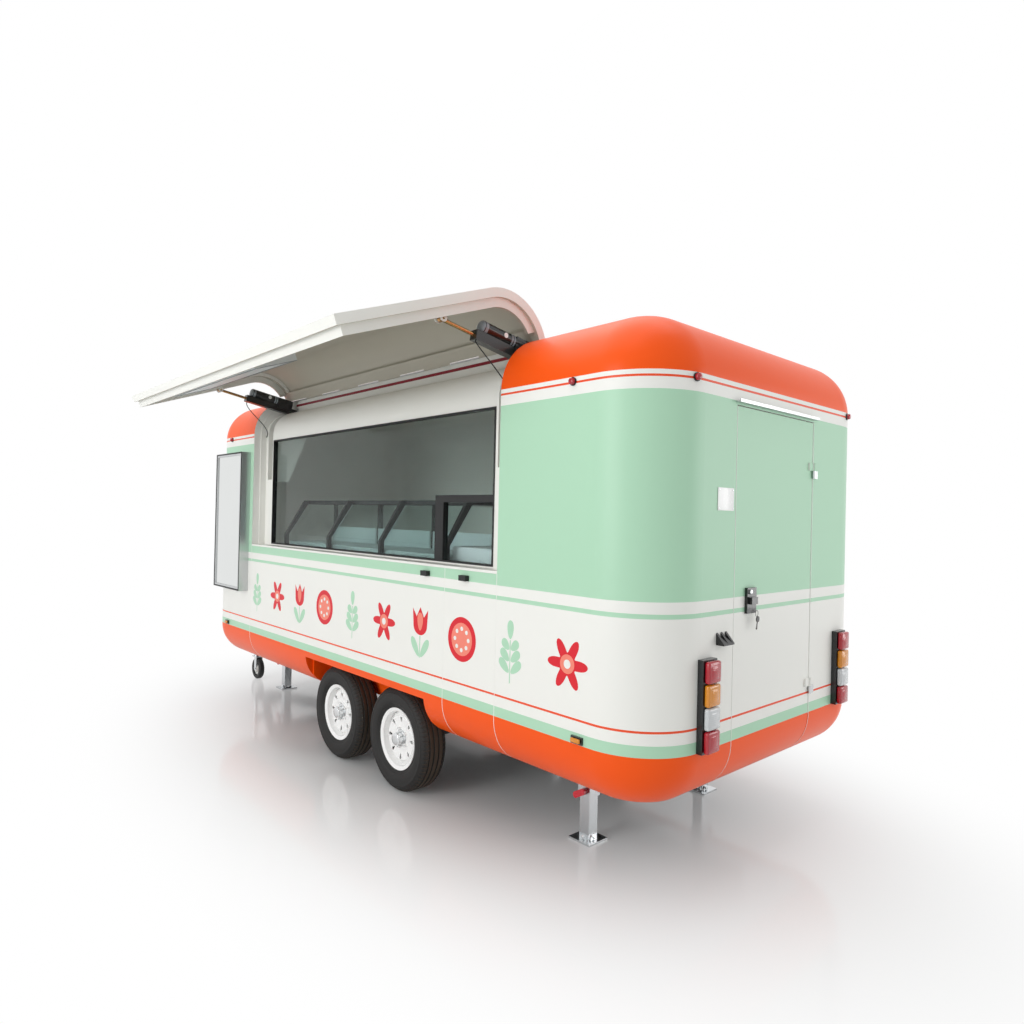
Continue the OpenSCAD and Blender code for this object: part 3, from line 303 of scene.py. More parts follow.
def tyre_rubber():
    """Tyre rubber: near-black flanks with a soft sheen and dry brown dust on the tread."""
    tree, shader, place = start_material("tyre_rubber", IOR=1.45)
    facing = put(tree, "SeparateXYZ", {"Vector": place["Normal"]}).outputs["Y"]
    across = put(tree, "Math", {0: facing}, operation="ABSOLUTE")
    dust = put(tree, "MapRange", {"Value": across, "From Min": 0.25, "From Max": 0.6, "To Min": 1.0,
                                  "To Max": 0.0})
    base = put(tree, "Mix", {"Factor": dust, "A": rgba(linear("1d1c1b")),
                             "B": rgba(linear("473c30"))}, data_type="RGBA")
    mottle(tree, shader, place, 5 * MM, (0.55, 0.8), 0.12, base.outputs["Result"], 0.12)


def float_glass():
    """Coated clear glass: a see-through pane with faint reflections and a slight green cast."""
    start_material("clear_float_glass", Base_Color=rgba(linear("e6f0ee")), Roughness=0.0, IOR=1.16,
                   Transmission_Weight=1.0)


def mirror_glass():
    """Silvered glass of a menu cabinet: a near mirror with a cool cast."""
    metal("silvered_menu_glass", "dfe1e0", 300, (0.02, 0.05), 0.0, 0.02)


def acrylic_lens(name, hex_colour):
    """Moulded acrylic lamp lens: deep colour, hard gloss and reflector cells 8 mm apart."""
    tree, shader, place = start_material(name, IOR=1.49, Transmission_Weight=0.25, Roughness=0.12,
                                         Coat_Weight=0.4, Coat_Roughness=0.03)
    pitch = 8 * MM
    grid = put(tree, "Mapping", {"Vector": place["Object"], "Scale": [1 / pitch] * 3})
    cells = put(tree, "TexVoronoi", {"Vector": grid, "Scale": 1.0, "Randomness": 0.0},
                feature="SMOOTH_F1")
    relief = put(tree, "Bump", {"Height": cells, "Strength": 0.35, "Distance": 2 * MM})
    shade = put(tree, "MapRange", {"Value": cells, "To Min": 1.15, "To Max": 0.75})
    base = put(tree, "VectorMath", {0: linear(hex_colour), "Scale": shade}, operation="SCALE")
    feed(tree, shader, {"Normal": relief, "Base Color": base})


def seen_rays(tree):
    """One for rays that show a surface to the camera, straight, mirrored or through glass."""
    ray = put(tree, "LightPath").outputs
    seen = put(tree, "Math", {0: ray["Is Camera Ray"], 1: ray["Is Transmission Ray"]},
               operation="MAXIMUM")
    return put(tree, "Math", {0: seen, 1: ray["Is Glossy Ray"]}, operation="MAXIMUM")


def floor_finish():
    """Pale polished screed that fades into a white surround away from the trailer."""
    tree, shader, place = start_material("polished_screed", Base_Color=rgba(linear("dfe1e1")),
                                         Roughness=0.12, IOR=1.5)
    oval = put(tree, "VectorMath", {0: place["Object"], 1: (0.55, 1.0, 1.0)}, operation="MULTIPLY")
    away = put(tree, "VectorMath", {0: oval}, operation="LENGTH").outputs["Value"]
    fade = put(tree, "MapRange", {"Value": away, "From Min": 0.6, "From Max": 2.5},
               interpolation_type="SMOOTHERSTEP")
    surround = put(tree, "Emission", {"Color": (1, 1, 1, 1), "Strength": 1.0})
    shown = put(tree, "Math", {0: fade, 1: seen_rays(tree)}, operation="MULTIPLY")
    mixed = put(tree, "MixShader", {0: shown, 1: shader, 2: surround})
    feed(tree, tree.nodes["Material Output"], {"Surface": mixed})


def new_piece(name, verts, faces, material, smooth=True):
    """Mesh object of one material made earlier, in row-frame metres."""
    mesh = bpy.data.meshes.new(name)
    mesh.from_pydata([tuple(v) for v in verts], [], faces)
    work = bmesh.new()
    work.from_mesh(mesh)
    bmesh.ops.remove_doubles(work, verts=work.verts, dist=1e-6)
    bmesh.ops.recalc_face_normals(work, faces=work.faces)
    work.to_mesh(mesh)
    work.free()
    mesh.materials.append(bpy.data.materials[material])
    if smooth:
        mesh.shade_smooth()
        mesh.set_sharp_from_angle(angle=radians(35))
    else:
        mesh.shade_flat()
    piece = bpy.data.objects.new(name, mesh)
    bpy.context.scene.collection.objects.link(piece)
    return piece


def quads(rows, columns, round_rows=False, round_columns=False):
    """Faces of a grid of points, closed round on itself where asked."""
    return [(i * columns + k, j * columns + k, j * columns + n, i * columns + n)
            for i, j in ((i, (i + 1) % rows) for i in range(rows - (not round_rows)))
            for k, n in ((k, (k + 1) % columns) for k in range(columns - (not round_columns)))]


class Shape:
    """Vertices and faces gathered for one piece."""

    def __init__(self):
        self.verts, self.faces = [], []

    def add(self, verts, faces):
        first = len(self.verts)
        self.verts += [Vector(v) for v in verts]
        self.faces += [[first + i for i in face] for face in faces]

    def lathe(self, profile, turns, place):
        """Turns a profile of (radius, offset) about the local Y axis; turns lists the angles."""
        verts = [place @ Vector((r * cos(a), y, r * sin(a))) for a in turns for r, y in profile]
        self.add(verts, quads(len(turns), len(profile), round_rows=True))

    def prism(self, outline, depth, place):
        """Closed plate: an outline of (x, z) with its face at local Y 0 and its back at depth."""
        n = len(outline)
        verts = [place @ Vector((x, y, z)) for y in (0, depth) for x, z in outline]
        faces = [list(range(n)), list(range(2 * n - 1, n - 1, -1))]
        self.add(verts, faces + [(i, (i + 1) % n, n + (i + 1) % n, n + i) for i in range(n)])

    def block(self, low, high, bevel=0.0, steps=2):
        """Box with rounded edges, from one corner to the other."""
        work = bmesh.new()
        bmesh.ops.create_cube(work, size=1)
        low, high = Vector(low), Vector(high)
        for v in work.verts:
            v.co = (low + high) / 2 + v.co * (high - low)
        if bevel:
            bmesh.ops.bevel(work, geom=work.edges[:], offset=bevel, segments=steps, profile=0.5,
                            affect="EDGES")
        work.verts.index_update()
        self.add([v.co for v in work.verts], [[v.index for v in f.verts] for f in work.faces])
        work.free()

    def bar(self, rings):
        """Closed bar through rings of points."""
        n, m = len(rings[0]), len(rings)
        ends = [list(range(n)), [(m - 1) * n + k for k in range(n)]]
        self.add([v for ring in rings for v in ring], quads(m, n, round_columns=True) + ends)

    def tube(self, path, radius, sides):
        """Round bar along points, closed at both ends."""
        rings = []
        for i, point in enumerate(path):
            along = run_at(path, i)
            across = along.cross(Vector((1, 0, 0) if abs(along.x) < 0.9 else (0, 1, 0))).normalized()
            up = along.cross(across)
            rings.append([point + radius * (cos(t) * across + sin(t) * up) for t in circle(sides)])
        self.bar(rings)

    def done(self, name, material, body, slot, smooth=True):
        """Makes the piece and rides it on its body."""
        piece = new_piece(name, self.verts, self.faces, material, smooth)
        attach(piece, body)
        return piece


def circle(n, start=0.0):
    """Angles of n even steps round a circle."""
    return [start + 2 * pi * i / n for i in range(n)]


def run_at(path, i):
    """Direction of a line of points at one of them."""
    return (path[min(i + 1, len(path) - 1)] - path[max(i - 1, 0)]).normalized()


def turned(spot, angle, axis="Z"):
    """Place at a point, turned about an axis."""
    return Matrix.Translation(spot) @ Matrix.Rotation(angle, 4, axis)


def border_bars(x0, x1, z0, z1, wide):
    """Lower, upper and two side bars of a border, each as its ends in x and z."""
    return ((x0, x1, z0, z0 + wide), (x0, x1, z1 - wide, z1),
            (x0, x0 + wide, z0 + wide, z1 - wide), (x1 - wide, x1, z0 + wide, z1 - wide))


def joint_of(name):
    """Row of the record's joint with this name."""
    return next(j for j in frame["joints"] if j["name"] == name)


def actuator_place(end):
    """Place of one actuator at rest: its base pin, with Y along the rod and Z towards the motor."""
    across, along = Vector((1, 0, 0)), Vector(joint_of(f"actuator_{end}_stroke")["axis"]).normalized()
    turn = Matrix((across, along, across.cross(along))).transposed().to_4x4()
    return Matrix.Translation(joint_of(f"actuator_{end}_swing")["pos_m"]) @ turn


def side_line(z0, z1, steps):
    """Points (distance in from the side, height) up the cabin's outside from one height to another."""
    points = []
    for k in range(steps + 1):
        z = z0 + (z1 - z0) * k / steps
        radius, past = (BELLY_R, BELLY_Z - z) if z < BELLY_Z else (ROOF_R, max(0.0, z - SIDE_TOP))
        points.append((radius - sqrt(radius ** 2 - past ** 2), z))
    return points


class TRAILER_OT_stage(Operator):
    """Sets the camera, the floor and the studio light"""
    bl_idname = "trailer.stage"
    bl_label = "Stage"
    # Camera fitted to the photo: sensor and lens in mm, its place, and its right, up and back axes
    SENSOR, LENS, FAR = 36.0, 24.678, 100
    EYE = (-7.639, 3.255, 1.211)
    AXES = ((-0.672695, -0.739570, 0.022707), (0.010949, 0.020735, 0.999722),
            (-0.73984, 0.67276, -0.005851))
    SKY_LIGHT, SKY_SEEN = 0.6, 1.0
    FLOOR_HALF, FLOOR_GAP = 30, 0.5 * MM
    # Name, place, aim, side in metres and power in watts: a wide overhead box, a key behind the
    # camera's left shoulder, a low fill and an unseen light in the cabin
    LAMPS = (("overhead", (-3.6, 1.0, 6.5), (-3.6, 0.6, 0.8), 7.0, 190),
             ("key", (-4.0, 9.0, 2.4), (-3.2, 0.8, 0.6), 4.0, 275),
             ("fill", (-9.6, -4.0, 1.6), (-6.0, -0.4, 0.8), 3.0, 76),
             ("cabin_light", (-3.6, 0.30, 1.42), (-3.6, 0.35, 0.0), 1.2, 18))

    def execute(self, context):
        scene = context.scene
        scene.view_settings.view_transform = "Standard"
        lens = bpy.data.cameras.new("camera")
        lens.sensor_width, lens.lens, lens.clip_end = self.SENSOR, self.LENS, self.FAR
        camera = bpy.data.objects.new("camera", lens)
        scene.collection.objects.link(camera)
        camera.matrix_world = Matrix.Translation(self.EYE) @ Matrix(self.AXES).transposed().to_4x4()
        scene.camera = camera

        world = bpy.data.worlds.new("studio")
        world.use_nodes = True
        scene.world = world
        tree = world.node_tree
        level = put(tree, "MapRange", {"Value": seen_rays(tree), "To Min": self.SKY_LIGHT,
                                       "To Max": self.SKY_SEEN})
        feed(tree, tree.nodes["Background"], {"Color": (1, 1, 1, 1), "Strength": level})

        half = self.FLOOR_HALF
        floor = bpy.data.meshes.new("floor")
        floor.from_pydata([(-half, -half, 0), (half, -half, 0), (half, half, 0), (-half, half, 0)], [],
                          [(0, 1, 2, 3)])
        floor_finish()
        floor.materials.append(bpy.data.materials["polished_screed"])
        ground = bpy.data.objects.new("floor", floor)
        ground.location = (REAR + CABIN_L / 2, 0, GROUND - self.FLOOR_GAP)
        scene.collection.objects.link(ground)

        for name, spot, aim, size, power in self.LAMPS:
            lamp = bpy.data.lights.new(name, "AREA")
            lamp.shape, lamp.size, lamp.energy = "SQUARE", size, power
            holder = bpy.data.objects.new(name, lamp)
            holder.location = spot
            turn = (Vector(aim) - Vector(spot)).to_track_quat("-Z", "Y")
            holder.rotation_euler = turn.to_euler()
            shows = name != "cabin_light"
            holder.visible_camera = holder.visible_glossy = holder.visible_transmission = shows
            scene.collection.objects.link(holder)
        return {"FINISHED"}


class TRAILER_OT_finishes(Operator):
    """Makes every material and gives each solid of the frame its own"""
    bl_idname = "trailer.finishes"
    bl_label = "Finishes"
    # Name, colour, grain in mm, least and most roughness, relief, and in some tint and stretch; fine
    # grains are drawn coarser than the real ones, so that they show
    METALS = (
        # Brushed: fine lines along the trailer that draw reflections out
        ("brushed_stainless", "c8cacb", 2, (0.22, 0.36), 0.05, 0.05, (0.02, 1, 1)),
        # Plated: a bright shine with cloudy patches
        ("bright_zinc_plate", "cfd2d4", 30, (0.14, 0.30), 0.02),
        # Plated and polished: nearly a mirror
        ("polished_chrome", "dfe1e2", 40, (0.04, 0.09), 0.0, 0.01),
        # Plated: a warm satin shine
        ("bronze_plated_rod", "b48a5c", 10, (0.2, 0.32), 0.02),
    )
    # The same, with clear coat and tint in some
    COATINGS = (
        # Sprayed on steel: a soft sheen on near black
        ("black_chassis_paint", "1d1e20", 6, (0.4, 0.6), 0.05),
        # Dyed in the bath: an even satin black
        ("black_anodised_bar", "0b0c0d", 3, (0.4, 0.55), 0.02),
        # Moulded: smooth, with a glossy skin
        ("black_abs", "121315", 2, (0.22, 0.36), 0.03, 0.4),
        # Extruded: dull, with a fine grain
        ("black_gasket_rubber", "121314", 3, (0.5, 0.7), 0.06),
        # Sprayed and baked: clean, bright gloss
        ("white_rim_enamel", "fafaf9", 8, (0.2, 0.32), 0.02, 0.3),
        ("red_handle_enamel", "cf1c2e", 8, (0.2, 0.34), 0.03, 0.3),
        # Moulded: milky and even
        ("opal_lamp_cover", "dfe3e4", 10, (0.35, 0.5), 0.02),
        # Drawn out by hand: half gloss with slight ripples
        ("white_sealant", "efefea", 4, (0.35, 0.55), 0.05),
        # Laid film: a slight sheen and uneven colour
        ("dark_red_tape", "8e1426", 20, (0.3, 0.45), 0.02, 0.0, 0.2),
        # Moulded: a waxy sheen
        ("pale_nylon", "d9dad6", 10, (0.35, 0.5), 0.03),
        # Painted casting: a fine satin grain
        ("grey_motor_shell", "8d949a", 4, (0.28, 0.4), 0.03),
        # Coated sheet: pale and smooth
        ("pale_steel_liner", "e2eaed", 6, (0.25, 0.4), 0.02),
        # Left as cast: dark, dull and rough
        ("cast_iron_drum", "1b1a19", 4, (0.5, 0.75), 0.15),
    )
    LENSES = (("red_acrylic", "c4152a"), ("amber_acrylic", "f09a1c"), ("clear_acrylic", "e3e6e8"))
    # Material and the frame's solids that wear it
    WORN = {
        "painted_gelcoat_bands": ("rear_shell", "front_shell", "left_wall", "right_wall", "roof_panel",
                                  "door"),
        "painted_gelcoat_hatch": ("hatch",),
        "orange_gelcoat": ("wheel_wells",),
        "cream_gelcoat": ("window_surround", "actuator_pockets"),
        "aluminium_chequer_plate": ("floor_panel",),
        "clear_float_glass": ("glazing", "display_glass"),
        "silvered_menu_glass": ("menu_glass",),
        "brushed_stainless": ("counter", "menu_frame", "hatch_hinge", "door_fittings"),
        "bright_zinc_plate": ("coupler", "leg_sleeves", "jockey_tube", "jockey_stem", "jockey_fork",
                              *("leg_" + leg for leg, _ in WHEELS)),
        "bronze_plated_rod": ("rod_rear", "rod_front"),
        "black_chassis_paint": ("chassis_rails", "cross_members", "drawbar", "axles"),
        "black_anodised_bar": ("display_frame",),
        "black_abs": ("housing_rear", "housing_front", "lamp_bases", "door_handle"),
        "black_gasket_rubber": ("window_gasket", "lead_rear", "lead_front", "jockey_wheel"),
        "red_handle_enamel": ("red_handles",),
        "opal_lamp_cover": ("hatch_lamp",),
        "white_rim_enamel": tuple("rim_" + wheel for wheel, _ in WHEELS),
        "tyre_rubber": tuple("tyre_" + wheel for wheel, _ in WHEELS),
    }

    def execute(self, context):
        paint = context.scene.trailer_paint
        gelcoat_bands(paint)
        gelcoat_bands(paint, hatch=True)
        for name, colour in (("orange_gelcoat", paint.orange), ("cream_gelcoat", paint.cream),
                             ("vinyl_berry", paint.berry), ("vinyl_blush", paint.blush),
                             ("vinyl_mint", paint.mint), ("vinyl_cream", paint.cream)):
            gelcoat_plain(name, colour)
        for row in self.METALS:
            metal(*row)
        for row in self.COATINGS:
            coating(*row)
        for row in self.LENSES:
            acrylic_lens(*row)
        tyre_rubber()
        float_glass()
        mirror_glass()
        chequer_plate()
        for material, nodes in self.WORN.items():
            for node in nodes:
                slots = frame["nodes"][node].data.materials
                slots.clear()
                slots.append(bpy.data.materials[material])
        return {"FINISHED"}


class TRAILER_OT_leads(Operator):
    """Hangs the two actuator leads between their housings and the jambs"""
    bl_idname = "trailer.leads"
    bl_label = "Actuator leads"
    RADIUS, SIDES, STEPS = 3 * MM, 12, 33
    # Where a lead leaves its housing, along it and below it, and where it meets the jamb
    ALONG, BELOW = 0.464, 0.0274
    TO_JAMB, INSET, HEIGHT = 0.071, 0.091, 2.235
    # Pull of its curve at the housing and at the jamb, with X towards the jamb
    AT_HOUSING, AT_JAMB = Vector((0.054, 0.0087, -0.0557)), Vector((-0.0631, -0.039, 0.0709))
    # Shares of the way from the jamb at which it starts to follow the housing and follows it fully
    STARTS, FOLLOWS = 0.061, 0.5

    def execute(self, context):
        for end, turn in zip(ENDS, (-1, 1)):
            place = actuator_place(end)
            mirror = Vector((turn, 1, 1))
            first = place @ Vector((0, self.ALONG, -self.BELOW))
            last = Vector((place.translation.x + turn * self.TO_JAMB, HALF_W - self.INSET,
                           GROUND + self.HEIGHT))
            leave, arrive = first + mirror * self.AT_HOUSING, last + mirror * self.AT_JAMB
            path = []
            for k in range(self.STEPS + 1):
                t = k / self.STEPS
                path.append((1 - t) ** 3 * first + 3 * (1 - t) ** 2 * t * leave
                            + 3 * (1 - t) * t ** 2 * arrive + t ** 3 * last)
            shape = Shape()
            shape.tube(path, self.RADIUS, self.SIDES)
            lead = new_piece("actuator_lead_" + end, shape.verts, shape.faces, "black_gasket_rubber")
            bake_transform(lead)
            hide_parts("lead_" + end)
        return {"FINISHED"}


class TRAILER_OT_tyres(Operator):
    """Turns the tyres with their ribs, grooves and shoulder cuts"""
    bl_idname = "trailer.tyres"
    bl_label = "Tyres"
    # Foot of the flank, in mm: radius and distance from the tyre's middle
    FOOT = mm((165.6, 56), (170, 60), (183.5, 64), (190, 70), (196, 73.5), (198.5, 76.2),
              (201.5, 76.2), (204, 79), (215, 83.8))
    # Flank: radius and distance in from the tyre's widest place
    FLANK = mm((228, 0.8), (240, 0), (252, 0.6), (260, 1.6), (263, 0.4), (268, 0.6), (270, 3.2),
               (282, 8), (291, 15))
    # Shoulder: distances in from the tread and from the widest place
    SHOULDER = mm((7.5, 23), (3, 32))
    GROOVES = (0.047, 0.0165)  # distances from the tyre's middle
    # Shares of a sipe's pitch: the block's start and end, then the cut's start and end
    SIPE = (0, 0.66, 0.72, 0.94)

    def execute(self, context):
        sizes = context.scene.trailer_tyres
        low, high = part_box("tyre_left_rear")
        outer, half = (high.z - low.z) / 2, (high.y - low.y) / 2
        flank = [*self.FOOT, *((r, half - inset) for r, inset in self.FLANK),
                 *((outer - drop, half - inset) for drop, inset in self.SHOULDER)]
        first_cut, last_cut = len(flank) - 4, len(flank) + 1
        # A groove's section: depth under the tread and distance from the groove's middle
        w, d = sizes.groove_w / 2, sizes.groove_d
        groove = ((0.0008, w + 0.0015), (0.0022, w), (d, w * 0.6), (d, -w * 0.6), (0.0020, -w),
                  (0.0005, -w - 0.0015))
        upper = flank + [(outer - drop, middle + away)
                         for middle in self.GROOVES for drop, away in groove]
        profile = upper + [(r, -y) for r, y in reversed(upper)]
        n = len(profile)
        pitch = 2 * pi / sizes.sipes
        turns = [(i + share) * pitch for i in range(sizes.sipes) for share in self.SIPE]
        for wheel, side in WHEELS:
            low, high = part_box("tyre_" + wheel)
            middle = (low + high) / 2
            verts = []
            for i, a in enumerate(turns):
                cut = i % len(self.SIPE) in (2, 3)
                for k, (r, y) in enumerate(profile):
                    row = min(k, n - 1 - k)
                    if cut and first_cut <= row <= last_cut:
                        r -= sizes.sipe_d * (0.5 if row in (first_cut, last_cut) else 1.0)
                    verts.append(middle + Vector((r * cos(a), side * y, r * sin(a))))
            faces = quads(len(turns), n, round_rows=True, round_columns=True)
            tyre = new_piece("tread_tyre_" + wheel, verts, faces, "tyre_rubber")
            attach(tyre, "wheel_" + wheel)
            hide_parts("tyre_" + wheel)
        return {"FINISHED"}


class TRAILER_OT_hubs(Operator):
    """Adds the chrome grease caps, the ends of the wheel studs and the brake drums"""
    bl_idname = "trailer.hubs"
    bl_label = "Hubs"
    # Profiles in mm of radius and distance out from the wheel's middle
    CAP = mm((50, 36.2), (50, 38.5), (38, 39), (36.4, 41), (36.4, 70), (37.2, 71.5), (36.4, 73),
             (36.4, 80), (33.5, 82), (20, 82.7), (0, 82.8))
    STUD = mm((5.2, 49.5), (5.2, 54), (4, 55.5), (0, 55.7))
    DRUM = mm((60, 12), (90, 12), (138, 10), (142, 6), (142, -30), (138, -32), (138, 2), (60, 2),
              (60, 12))
    STUDS, STUD_CIRCLE_R = 5, 0.057

    def execute(self, context):
        for wheel, side in WHEELS:
            low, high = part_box("tyre_" + wheel)
            place = turned((low + high) / 2, 0 if side > 0 else pi)
            shape = Shape()
            shape.lathe(self.CAP, circle(48), place)
            for a in circle(self.STUDS):
                spot = self.STUD_CIRCLE_R * Vector((cos(a), 0, sin(a)))
                shape.lathe(self.STUD, circle(14), place @ Matrix.Translation(spot))
            shape.done("hub_cap_and_studs_" + wheel, "polished_chrome", "wheel_" + wheel, "zinc")
            drum = Shape()
            drum.lathe(self.DRUM, circle(64), place)
            drum.done("brake_drum_" + wheel, "cast_iron_drum", "wheel_" + wheel, "black_steel")
        return {"FINISHED"}


class TRAILER_OT_seams(Operator):
    """Draws the beads of sealant along the cabin's joints and the seal round the door"""
    bl_idname = "trailer.seams"
    bl_label = "Seams"
    BEAD = {"width": 3.5 * MM, "height": 0.9 * MM}
    SEAL = {"width": 3.4 * MM, "height": 1.2 * MM, "depth": 12 * MM}
    MID_SEAM = 1.36  # the serving side's joint between its ends, from the cabin's rear
    DOOR_GAP, DOOR_LOW, DOOR_TOP = 2.6 * MM, 0.478, 2.1535

    def execute(self, context):
        joints = Shape()
        low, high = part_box("left_wall")
        first, last = low.x - REAR - 0.2 * MM, high.x - REAR + 0.2 * MM
        sill, roof = high.z - GROUND, CABIN_TOP - 4 * MM
        for x, side, top in ((first, 1, sill), (self.MID_SEAM, 1, sill), (last, 1, sill),
                             (first, -1, roof), (last, -1, roof)):
            line = side_line(BODY_BOTTOM + 2 * MM, top, 60)
            rows = [cabin(x, side * (HALF_W - inset), z) for inset, z in line]
            self.bead(joints, rows, Vector((1, 0, 0)), **self.BEAD)
        joints.done("joint_sealant", "white_sealant", ROOT, "cabin_skin")
        seal = Shape()
        low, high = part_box("door")
        for y in (high.y + self.DOOR_GAP, low.y - self.DOOR_GAP):
            rows = [cabin(inset, y, z) for inset, z in side_line(self.DOOR_LOW, self.DOOR_TOP, 50)]
            self.bead(seal, rows, Vector((0, 1, 0)), **self.SEAL)
        seal.done("door_seal", "white_sealant", ROOT, "rubber")
        return {"FINISHED"}

    def bead(self, shape, rows, across, width, height, depth=0.0):
        """Half-round strip along points of the cabin's outside, with a depth under the surface."""
        section = [(-1, -depth), (-0.8, height * 0.7), (0, height), (0.8, height * 0.7), (1, -depth)]
        middle = cabin(CABIN_L / 2, 0, 1.5)
        rings = []
        for i, point in enumerate(rows):
            out = run_at(rows, i).cross(across)
            if out.dot(point - middle) < 0:
                out.negate()
            rings.append([point + across * (s * width / 2) + out * h for s, h in section])
        shape.bar(rings)


class TRAILER_OT_frieze(Operator):
    """Lays the cut-vinyl frieze of flowers, discs and leaves on the serving side"""
    bl_idname = "trailer.frieze"
    bl_label = "Frieze"
    END = 3.94  # farthest place of a motif, from the cabin's rear
    LIFT = 0.2 * MM  # gap that keeps the film off the wall

    def execute(self, context):
        sizes = context.scene.trailer_frieze
        layers = {colour: Shape() for colour in ("berry", "blush", "mint", "cream")}
        unit = sizes.motif

        # Outlines are in motif widths about the motif's place on the side
        def lay(colour, outline, x, z, layer=1):
            film = sizes.film * layer
            place = Matrix.Translation(cabin(x, HALF_W + self.LIFT + film, z))
            layers[colour].prism([(-u * unit, v * unit) for u, v in outline], -film, place)

        def disc(r, n=40, u=0.0, v=0.0):
            return [(u + r * cos(a), v + r * sin(a)) for a in circle(n)]

        def leaf(u, v, turn, long, wide):
            points = []
            for a in circle(24):
                p = long * (0.5 - 0.5 * cos(a))
                q = wide / 2 * sin(a) * (1.15 - 0.3 * cos(a))
                points.append((u + p * cos(turn) - q * sin(turn),
                               v + p * sin(turn) + q * cos(turn)))
            return points

        def stalk(half, top):
            return [(-half, -0.62), (half, -0.62), (half, top), (-half, top)]

        def sprig(x, z):
            lay("mint", stalk(0.012, 0.2), x, z)
            for k in range(3):
                for side in (-1, 1):
                    turn = pi / 2 - side * 0.85
                    lay("mint", leaf(side * 0.03, -0.42 + 0.22 * k, turn, 0.36 - 0.05 * k, 0.15), x, z)
            lay("mint", leaf(0, 0.22, pi / 2, 0.36, 0.15), x, z)

        def flower(x, z):
            petals = [(0.34 + 0.14 * cos(6 * a), a) for a in circle(96)]
            lay("berry", [(r * cos(a), r * sin(a)) for r, a in petals], x, z)
            lay("blush", disc(0.17), x, z, 2)
            lay("cream", disc(0.08), x, z, 3)

        def ring(x, z):
            lay("berry", disc(0.46), x, z)
            lay("blush", disc(0.34), x, z, 2)
            for a in circle(8):
                lay("cream", disc(0.045, 16, 0.22 * cos(a), 0.22 * sin(a)), x, z, 3)

        def tulip(x, z):
            lay("mint", stalk(0.015, -0.13), x, z)
            for side in (-1, 1):
                lay("mint", leaf(side * 0.03, -0.6, pi / 2 - side * 0.62, 0.5, 0.16), x, z)
            cup = [(0.26 * cos(a), 0.1 + 0.22 * sin(a)) for a in circle(40, pi)[:21]]
            points = [(0.29, 0.46), (0.14, 0.28), (0, 0.5), (-0.14, 0.28), (-0.29, 0.46)]
            lay("berry", cup + points, x, z)
            lay("blush", leaf(0, -0.02, pi / 2, 0.4, 0.18), x, z, 2)

        motifs = (flower, sprig, ring, tulip)
        for i in range(int((self.END - sizes.first) / sizes.pitch) + 1):
            motifs[i % len(motifs)](sizes.first + i * sizes.pitch, sizes.height)
        for colour, shape in layers.items():
            shape.done("frieze_" + colour, "vinyl_" + colour, ROOT, "cabin_skin", smooth=False)
        return {"FINISHED"}


class TRAILER_OT_lamps(Operator):
    """Moulds the lamp lenses with rounded edges"""
    bl_idname = "trailer.lamps"
    bl_label = "Lamps"
    # Tail lamp: gap between its chambers, rim round a chamber's raised middle, and the middle's reach
    GAP, RIM, RISE, SUNK = 5 * MM, 18 * MM, 1.5 * MM, 10 * MM
    # Side lamp: distance from the cabin's ends, half length, reach out from the side, heights
    SIDE_X, SIDE_HALF, SIDE_OUT, SIDE_Z = 0.390, 0.026, (0.0105, 0.022), (0.677, 0.697)
    # Marker lamp: height, distances from the cabin's rear and front, degrees round the rear corner
    MARKER_Z, MARKER_REAR, MARKER_FRONT, MARKER_TURN = 2.236, 0.460, 0.400, 11
    DOME = mm((15, 6.5), (15, 15), (13.5, 19), (10, 21.2), (5, 21.9), (0, 22))

    def execute(self, context):
        red, amber, clear = Shape(), Shape(), Shape()
        low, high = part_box("clear_lenses")
        width = high.z - low.z
        for side in (-1, 1):
            y0, y1 = sorted((side * (high.y - width), side * high.y))
            for row, shape in ((-1, red), (0, clear), (1, amber), (2, red)):
                z0 = low.z + row * (width + self.GAP)
                z1 = z0 + width
                shape.block((low.x, y0, z0), (high.x, y1, z1), 9 * MM, 3)
                shape.block((low.x - self.RISE, y0 + self.RIM, z0 + self.RIM),
                            (low.x + self.SUNK, y1 - self.RIM, z1 - self.RIM), 5 * MM)
            y0, y1 = sorted(side * (HALF_W + out) for out in self.SIDE_OUT)
            for x in (self.SIDE_X, CABIN_L - self.SIDE_X):
                amber.block(cabin(x - self.SIDE_HALF, y0, self.SIDE_Z[0]),
                            cabin(x + self.SIDE_HALF, y1, self.SIDE_Z[1]), 5 * MM, 3)
            for x in (self.MARKER_REAR, CABIN_L - self.MARKER_FRONT):
                spot = cabin(x, side * HALF_W, self.MARKER_Z)
                red.lathe(self.DOME, circle(28), turned(spot, 0 if side > 0 else pi))
            corner = cabin(CORNER_R, side * (HALF_W - CORNER_R), self.MARKER_Z)
            red.lathe([(r, CORNER_R + y) for r, y in self.DOME], circle(28),
                      turned(corner, radians(90 - side * self.MARKER_TURN)))
        for shape, colour in ((red, "red"), (amber, "amber"), (clear, "clear")):
            piece = shape.done(colour + "_lamp_lenses", colour + "_acrylic", ROOT, colour + "_lens")
            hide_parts(colour + "_lenses")
        return {"FINISHED"}


